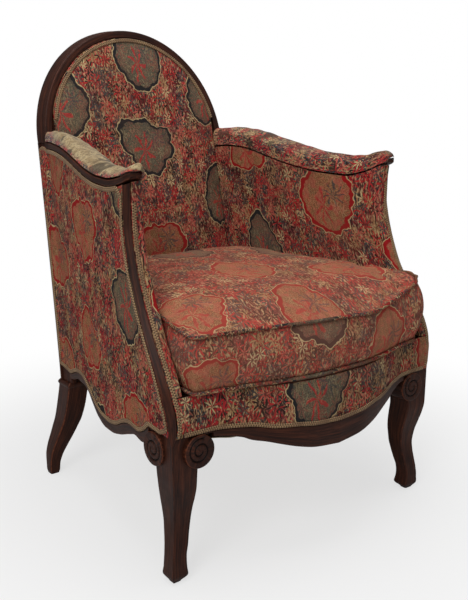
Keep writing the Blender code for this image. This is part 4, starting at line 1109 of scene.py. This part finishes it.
def outside_back():
    """The outside back: one stretched cloth, a little slack."""
    f, flat = panel(back_outline(SHOW_WIDE + PLAY, LEG_TOP + .0090), .54, 34)
    x, z = flat[..., 0], flat[..., 1]
    slack = (.0010 + .0010 * ripple(x, z, .20, 6.1)) * ease((1 - f) * 5)
    face = grid(x, back_y(z) + FRAME_DEEP - .0005 - slack, z)
    inner = grid(x, back_y(z) + REBATE_BACK + .0006, z)
    uv = grid(-x, z * math.hypot(1, BACK_SLOPE))
    back = build("outside_back", [patch(face, uv), patch(inner, uv), patch(np.stack([face[0], inner[0]]))])
    dress(back, PRINTS["rear"], "printed_cover", "outside_back", fill=.15)


def front_border():
    """The cover over the front rail, from the show wood to the seat."""
    s, t = np.meshgrid(np.linspace(-1, 1, 190), np.linspace(0, 1, 34))
    limit = strip_front(mix(front_wood(.28) + .0004, BORDER_TOP, t))[0] - .0010
    x = s * limit
    z = mix(front_wood(abs(x)) + .0004, BORDER_TOP, t)
    edge = np.minimum(t, 1 - t) * .07
    full = .0018 * ease(edge / .020) - .0010 * share(1 - edge / .003)
    y = border_y(x, z) - full - .0007 * ripple(x, z, .09, 4.2) * ease(edge / .02)
    face = grid(x, y, z)
    hidden = grid(x * (1 - COVER / limit), border_y(x, z) + COVER, z)
    border = build("front_border", closed_sheet(face, hidden, grid(lengths(face[10, :, :2]), z)))
    dress(border, PRINTS["border"], "printed_cover", "front_border", fill=.3)


def seat_half(y):
    """How far the seat stuffing reaches to the side: inside the posts, then over the side rails."""
    rail = side_x(y, .29) - REBATE - .0008
    limit = np.where(y > .1240, stile_x(.29) - TONGUE - .0010, 1.0)
    return np.where(y < -.2800, .2404, np.minimum(rail, limit))


def seat_platform():
    """The sprung seat under the cushion: a plain cloth over hair, sagging in the middle."""
    front, rear = -.335, .1300
    y, s = np.meshgrid(np.linspace(front, rear, 120), np.linspace(-1, 1, 60), indexing="ij")
    x = s * seat_half(y)
    y[0] = front_plan(abs(x[0])) + REBATE + .0062
    sink = share(1 - (x / .2) ** 2) * share(1 - ((y + .1) / .2) ** 2)
    edge = np.minimum(1 - abs(s), 1 - abs(2 * (y - front) / (rear - front) - 1)) * .2
    top = SEAT_TOP - .0030 * sink - .0020 * share(1 - edge / .006) ** 2
    dome = RAIL_TOP + .0024 + .0150 * share(1 - (x / .240) ** 2) * share(1 - ((y + .105) / .240) ** 2)
    seat = build("seat_platform", closed_sheet(grid(x, y, top), grid(x, y, np.minimum(dome, top - .004))))
    dress(seat, TICKING, "platform_cloth", "seat_platform", fill=.5)


def bottom_cloth():
    """The dust cloth: a thin sheet tacked under the rails that has dropped in the middle."""
    level, drop, thick = .2262, .0230, .0012
    y, s = np.meshgrid(np.linspace(-.3040, .1050, 90), np.linspace(-1, 1, 90), indexing="ij")
    rail = side_x(y, .25) - RAIL_THICK - .0012
    half = np.where(y < -.2987, .2120, np.where(y < -.2800, .2400, rail))
    half = np.where(y > .0900, np.minimum(half, .1890), np.where(y < -.25, np.minimum(half, .2585), half))
    x = s * half
    y[0] = front_plan(abs(x[0])) + .0268
    sag = (1 - s ** 2) * share(1 - ((y + .12) / .25) ** 2)
    pleat = .0012 * ripple(x * 1.6, y, .07, 2.3) * (1 - abs(s)) + .0010 * np.sin(x * 150) * np.exp(-(y + .30) * 25)
    z = level - drop * sag + pleat * ease(sag * 4)
    sheet = build("bottom_cloth", closed_sheet(grid(x, y, z), grid(x, y, z - thick)))
    dress(sheet, DUST, "bottom_cloth", "bottom_cloth")


# The loose cushion.

cushion_top = curve((-.25, .4030), (-.19, .4035), (-.13, .4055), (-.05, .4050), (.03, .4020),
                    (.08, .3985), (.13, .4040), (.197, .4150), (.25, .4320))
cushion_front = curve((0, -.3835), (.05, -.3815), (.10, -.3735), (.15, -.3600), (.20, -.3470), (.235, -.3425),
                      (.2545, -.3390))
CORNER_X, SIDE_FRONT, SIDE_END = .2545, -.3390, .115


def cushion_line(count=64):
    """The cushion's outline as four runs of count points: front, right side, back, left side.

    The right front corner is drawn in by pull, as a corner that has lost some of its filling.
    """
    pull = (.0110, -.0120)
    x = np.linspace(-1, 1, count)
    front = grid(x * CORNER_X, cushion_front(abs(x * CORNER_X)))
    y = np.linspace(SIDE_FRONT, SIDE_END, count)
    side = grid(np.minimum(inner_low(y), inner_x(y, .435)) - .0094 - .0030 * ease((-.22 - y) / .05), y)
    rear_y = back_y(.33) - .0295
    back = grid(-x * .165, rear_y + .0010 * (1 - x ** 2))
    front[[0, -1]] = side[0] * (-1, 1), side[0]
    near = ease((x - .80) / .20)[:, None]
    front = front - near ** 2 * pull
    right = side - ease((-.28 - y) / .058)[:, None] ** 2 * pull
    back = mix(back, grid(-np.sign(x) * side[-1, 0], SIDE_END),
               (ease((abs(x) - .86) / .14) * abs(x) ** 8)[:, None])
    return front, right, back, side[::-1] * (-1, 1)


def cushion_edge_z(x, y):
    """The height of the top seam: the slumped line in front, easing to a level back."""
    return mix(cushion_top(x), CUSHION_BACK, ease((y + .34) / mix(.15, .40, ease((.255 - abs(x)) / .06))))


def filled(front, right, back, left):
    """A square grid inside four edges, by the Coons formula: opposite edges mixed, less the corners."""
    n = len(front)
    u, v = np.linspace(0, 1, n)[None, :, None], np.linspace(0, 1, n)[:, None, None]
    ruled = mix(front[None], back[::-1][None], v) + mix(left[::-1][:, None], right[:, None], u)
    corners = mix(mix(front[0], front[-1], u), mix(back[-1], back[0], u), v)
    return ruled - corners


def cushion():
    """The cushion: two Coons panels and a boxing band, swollen by a cloth simulation with its seams held."""
    runs = cushion_line()
    plan = filled(*runs)
    rim = np.roll(np.concatenate([r[:-1] for r in runs]), int(1.5 * len(runs[0])), 0)
    rim = np.concatenate([rim, rim[:1]])
    x, y = plan[..., 0], plan[..., 1]
    n = len(plan)
    a, b = np.meshgrid(np.linspace(-1, 1, n), np.linspace(-1, 1, n))
    dome = (1 - a ** 4) * (1 - b ** 4)
    edge_z = cushion_edge_z(x, y)
    top = grid(x, y, mix(edge_z, CUSHION_CROWN, dome * .8) + .004 * dome)
    low = grid(x, y, CUSHION_LOW - .0039 * ease(dome * 8))
    rim_top = cushion_edge_z(rim[:, 0], rim[:, 1])
    t = np.linspace(0, 1, 13)[:, None]
    lean = np.exp(-((rim[:, 0] - .250) ** 2 + (rim[:, 1] + .330) ** 2) / .045 ** 2)
    ahead = np.roll(rim[:-1], -1, 0) - np.roll(rim[:-1], 1, 0)
    out = unit(grid(ahead[:, 1], -ahead[:, 0]))
    out = np.concatenate([out, out[:1]])
    bulge = (.0040 + .0130 * lean) * np.sin(math.pi * t)
    band = grid(rim[:, 0] + out[:, 0] * bulge, rim[:, 1] + out[:, 1] * bulge, mix(CUSHION_LOW, rim_top, t))
    run = lengths(rim)
    band_uv = grid(run, .6 + t * .1)
    piece = build("seat_cushion", [patch(top, plan), patch(low, plan * (1, -1)), patch(band, band_uv)], sharp=180)
    swell(piece, rim, rim_top)
    press(piece)
    smooth = piece.modifiers.new("smooth", "SUBSURF")
    smooth.levels = smooth.render_levels = 1
    dress(piece, PRINTS["cushion"], "printed_cover", "seat_cushion", fill=.55)
    for name, height in (("cushion_piping_low", CUSHION_LOW + 0 * rim_top), ("cushion_piping_top", rim_top)):
        path = np.column_stack([rim + out * .0036, height])[:-1]
        path[:, 2] += .0006 * ripple(run[:-1], 0 * run[:-1], .05, 3.3)
        pipe = build(name, cord_patches(path), sharp=60)
        dress(pipe, CORD_SOILED_AND_SHADED, "piping", name)


def swell(piece, rim, rim_top):
    """Runs the cloth simulation, with both seams and the underside held, and keeps its result."""
    co = points_of(piece.data)
    seam = np.concatenate([np.column_stack([rim, rim_top]), np.column_stack([rim, 0 * rim_top + CUSHION_LOW])])
    seam[:, 1] += SHIFT
    gap = np.full(len(co), 9.0)
    for chunk in np.array_split(seam, 16):
        gap = np.minimum(gap, np.linalg.norm(co[:, None] - chunk[None], axis=2).min(1))
    held = (gap < .0008) | (co[:, 2] < CUSHION_LOW - .0002)
    group = piece.vertex_groups.new(name="held")
    group.add([int(i) for i in np.flatnonzero(held)], 1.0, "REPLACE")
    cloth = piece.modifiers.new("cloth", "CLOTH")
    rules = cloth.settings
    rules.quality, rules.mass, rules.air_damping = 6, .3, 3
    rules.tension_stiffness = rules.compression_stiffness = 14
    rules.shear_stiffness, rules.bending_stiffness = 6, 1.2
    rules.shrink_min = -.035
    rules.use_pressure, rules.uniform_pressure_force = True, 3.2
    rules.vertex_group_mass = "held"
    rules.effector_weights.gravity = 0
    scene = bpy.context.scene
    for frame_number in range(1, SWELL_STEPS + 1):
        scene.frame_set(frame_number)
    swollen = piece.evaluated_get(bpy.context.evaluated_depsgraph_get())
    step = points_of(swollen.data) - co
    piece.modifiers.remove(cloth)
    scene.frame_set(1)
    far = np.linalg.norm(step, axis=1, keepdims=True)
    move_points(piece.data, co + step * np.minimum(1, SWELL_MOST / np.maximum(far, 1e-9)))


def press(piece):
    """Flattens the cushion against the arms, the back and the seat that it touches."""
    co = points_of(piece.data).astype(float)
    y, z = co[:, 1] - SHIFT, co[:, 2]
    wall = inner_x(y, z) - .0022
    front = strip_front(np.clip(z, .25, .6))[1]
    wall = np.where(y < front - .001, np.where(co[:, 0] > 0, .2780, .2600), wall)
    co[:, 0] = np.sign(co[:, 0]) * np.minimum(abs(co[:, 0]), wall)
    co[:, 1] = np.minimum(y, back_y(z) - .0215) + SHIFT
    co[:, 2] = np.maximum(z, SEAT_TOP + .0006)
    move_points(piece.data, co)


def cord_patches(path):
    """A closed round cord along a loop of points, with a faint lay of twisted thread."""
    around, lay = 12, 900
    along = unit(np.roll(path, -1, 0) - np.roll(path, 1, 0))
    side = unit(np.cross(along, (0, 0, 1.0)))
    up = np.cross(side, along)
    a = np.linspace(0, 2 * math.pi, around + 1)[None, :, None]
    s = lengths(path)[:, None, None]
    r = PIPING * (1 + .05 * np.sin(a * 2 + s * lay))
    rings = path[:, None] + r * (np.cos(a) * side[:, None] + np.sin(a) * up[:, None])
    rings = np.concatenate([rings, rings[:1]])
    uv = grid(np.append(s[:, 0, 0], s[-1, 0, 0] + .008)[:, None], a[:, :, 0] * PIPING)
    return [patch(rings, uv)]


# Braid.

def gimp(name, path, normal, closed, side=1, lift=.0008):
    """Gimp braid along a path on a surface.

    The section is nine points wide. Its two rows of loops rise in turn, as (1 + cos) / 2 on the left of the
    middle and (1 - cos) / 2 on the right, with one turn of the cosine every LOOP. The edges follow the same wave.
    """
    path, normal = np.asarray(path, float), np.asarray(normal, float)
    if closed:
        path, normal = np.concatenate([path, path[:1]]), np.concatenate([normal, normal[:1]])
    s = lengths(path)
    long = s[-1]
    count = int(long / .00115)
    where = np.linspace(0, long, count)
    path = np.stack([np.interp(where, s, path[:, k]) for k in range(3)], -1)
    normal = unit(np.stack([np.interp(where, s, normal[:, k]) for k in range(3)], -1))
    along = np.gradient(path, axis=0)
    if closed:
        along[0] = along[-1] = (path[1] - path[0]) + (path[-1] - path[-2])
    along = unit(along)
    normal = unit(normal - along * (normal * along).sum(1, keepdims=True))
    across = np.cross(along, normal)
    turns = max(1, round(long / LOOP))
    wave = np.cos(where / long * turns * 2 * math.pi)[:, None]
    c = np.linspace(-1, 1, 9)[None, :]
    loops = np.where(c < 0, 1 + wave, 1 - wave) / 2
    high = .0006 + .0011 * np.sqrt(share(1 - (2 * abs(c) - 1) ** 2)) * (.35 + .65 * loops)
    wide = GIMP_HALF + .0004 * np.where(c < 0, wave, -wave)
    at = lambda w, h: path[:, None] + across[:, None] * w[..., None] + normal[:, None] * h[..., None]
    top = at(c * wide, lift + high)
    low = at(c[:, ::8] * wide[:, ::8], lift + 0 * high[:, ::8])
    ring = np.concatenate([top, low[:, ::-1], top[:, :1]], 1)
    u = np.broadcast_to((where / long * turns * LOOP)[:, None], ring.shape[:2])
    v = np.broadcast_to(np.concatenate([c[0] * GIMP_HALF, [GIMP_HALF, -GIMP_HALF, -GIMP_HALF]])[None], ring.shape[:2])
    patches = [patch(ring, grid(u, v))]
    if not closed:
        patches += [lid(ring[0], 1), lid(ring[-1], 1)]
    piece = build(name, patches, side, sharp=180)
    dress(piece, GIMP, "gimp", name)


def surface_normal(y, z):
    """The normal of the outer side at (y, z): 1 and minus its slopes along y and z, from points e either way."""
    e = 1e-4
    return grid(1, -(side_x(y + e, z) - side_x(y - e, z)) / (2 * e),
                -(side_x(y, z + e) - side_x(y, z - e)) / (2 * e))


def gimps():
    """Every length of braid: round the outside covers, along the front, the posts and the back."""
    edge = GIMP_EDGE
    for side, tag in SIDES:
        y1 = np.linspace(back_y(.24) + STILE_LAP - edge, -.300, 180)
        z2 = np.linspace(.262, .598, 120)
        y3 = np.linspace(-.190, .190, 120)
        over = curve((0, .6438), (.25, .6480), (.5, .6496), (.75, .6474), (.88, .6440))
        u = np.linspace(.02, .86, 24)
        z5 = np.linspace(.632, .262, 100)
        y = np.concatenate([y1, strip_side(z2)[1] + edge, y3, back_y(.65) + u * STILE_LAP,
                            back_y(z5) + STILE_LAP - edge])
        z = np.concatenate([side_wood(y1) + edge, z2, arm_low(y3) - edge, over(u), z5])
        path = grid(side_x(y, z), y, z)
        gimp("side_gimp_" + tag, path, surface_normal(y, z), True, side)
        z = np.linspace(.2560, .5900, 180)
        x, y = strip_front(z)
        normal = grid(0, -1, np.gradient(y, z))
        gimp("post_gimp_" + tag, grid(x - .0056, y, z), normal, False, side)
    x = np.linspace(-.270, .270, 260)
    z = front_wood(abs(x)) + edge
    y = border_y(x, z)
    gimp("front_gimp", grid(x, y, z), grid(np.gradient(y, x), -1, 0), False, lift=.0016)
    x, z = arch(np.linspace(.22, math.pi - .22, 200), SHOW_WIDE + .0060)
    lean = np.broadcast_to((0, -1, BACK_SLOPE), (len(x), 3))
    gimp("inside_back_gimp", grid(x, back_y(z) - .0036, z), lean, False, lift=.0010)
    line = back_outline(SHOW_WIDE + PLAY + .0048, LEG_TOP + .0138)
    path = grid(line[:, 0], back_y(line[:, 1]) + FRAME_DEEP - .0005, line[:, 1])
    gimp("outside_back_gimp", path, np.broadcast_to((0, 1, -BACK_SLOPE), path.shape), True, lift=.0004)


def inner_works():
    """The solids that stay: webs, springs, hessian and the hidden woodwork get their finishes."""
    bare = plain_wood("bare_beech")
    webbing = jute("jute_webbing", rgb(96, 78, 54), rgb(176, 152, 112), .0022)
    hessian = jute("open_hessian", rgb(84, 66, 44), rgb(164, 136, 96), .0016)
    wire = spring_wire("spring_wire")
    for name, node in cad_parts.items():
        if name.startswith("web_"):
            paint = webbing
        elif name.startswith("coil_spring"):
            paint = wire
        elif name == "spring_hessian":
            paint = hessian
        elif name.startswith(("corner_block", "arm_tack_rail")) or name in ("back_rail", "back_tack_rail"):
            paint = bare
        else:
            continue
        node.data.materials.clear()
        node.data.materials.append(paint)


def stage():
    """A white floor that keeps the chair's shadow near it and fades to plain white further off."""
    f = Finish("studio_floor")
    x, y, _ = f.place().parts()
    far = (x * x + y * y).math("SQRT").ramp(.30, 1.1) * .34 + .66
    rays = f.add("ShaderNodeLightPath", out="Is Camera Ray")
    glow = f.add("ShaderNodeEmission", Color=(1, 1, 1), Strength=1.0)
    f.close(rgb(214, 214, 214), .9, Specular_IOR_Level=0.0)
    lit = Shade(f.tree, f.shader.outputs[0])
    both = f.add("ShaderNodeMixShader", far * rays, lit, glow)
    f.tree.links.new(both.socket, f.tree.nodes["Material Output"].inputs[0])
    mesh = bpy.data.meshes.new("floor")
    half, level = 12.0, -.0005
    corners = [(x * half, y * half, level) for x, y in ((-1, -1), (1, -1), (1, 1), (-1, 1))]
    mesh.from_pydata(corners, [], [(0, 1, 2, 3)])
    mesh.materials.append(f.material)
    placed("floor", mesh)


# Each lamp's name, place, size and power in watts.
LAMPS = (("key", (-2.4, -1.5, 2.4), 1.4, 48), ("fill", (2.6, -1.6, 1.6), 2.0, 7), ("top", (-.2, -.3, 2.8), 1.5, 33))


def lights():
    """A broad soft key from the upper left front, a weaker fill and the white room all round."""
    world = bpy.data.worlds.new("room")
    bpy.context.scene.world = world
    world.use_nodes = True
    tree = world.node_tree
    back = tree.nodes["Background"]
    seen = add_node(tree, "ShaderNodeLightPath", out="Is Camera Ray")
    glossy = add_node(tree, "ShaderNodeLightPath", out="Is Glossy Ray")
    strength = seen * .73 + .27 - glossy * .06
    back.inputs["Color"].default_value = (1, 1, 1, 1)
    tree.links.new(strength.socket, back.inputs["Strength"])
    for name, place, size, power in LAMPS:
        lamp = bpy.data.lights.new(name, "AREA")
        lamp.energy, lamp.size = power, size
        made = placed(name, lamp)
        made.location = place
        made.rotation_euler = (Vector((0, 0, .4)) - Vector(place)).to_track_quat("-Z", "Y").to_euler()


def camera():
    """The photograph's view: left of the chair, a little above, with a 50 mm lens."""
    azimuth, pitch, away = math.radians(-37.698), math.radians(13.298), 1.5486
    aim = Vector((0, -.1055 + SHIFT, .3790))
    back = Vector((math.sin(azimuth) * math.cos(pitch), -math.cos(azimuth) * math.cos(pitch), math.sin(pitch)))
    lens = bpy.data.cameras.new("camera")
    lens.lens, lens.sensor_width, lens.clip_start, lens.clip_end = 50, 36, .05, 60
    made = placed("camera", lens)
    made.location = aim + back * away
    made.rotation_mode = "QUATERNION"
    made.rotation_quaternion = (-back).to_track_quat("-Z", "Y")
    bpy.context.scene.camera = made


camera()
for side, tag in SIDES:
    front_post(side, tag)
    rear_leg(side, tag)
    side_rail(side, tag)
    arm_rail(side, tag)
    outside_arm(side, tag)
    inside_arm(side, tag)
    arm_pad(side, tag)
back_frame()
front_rail()
front_border()
inside_back()
outside_back()
seat_platform()
bottom_cloth()
cushion()
gimps()
inner_works()
stage()
lights()
bpy.context.scene.view_settings.view_transform = "Standard"
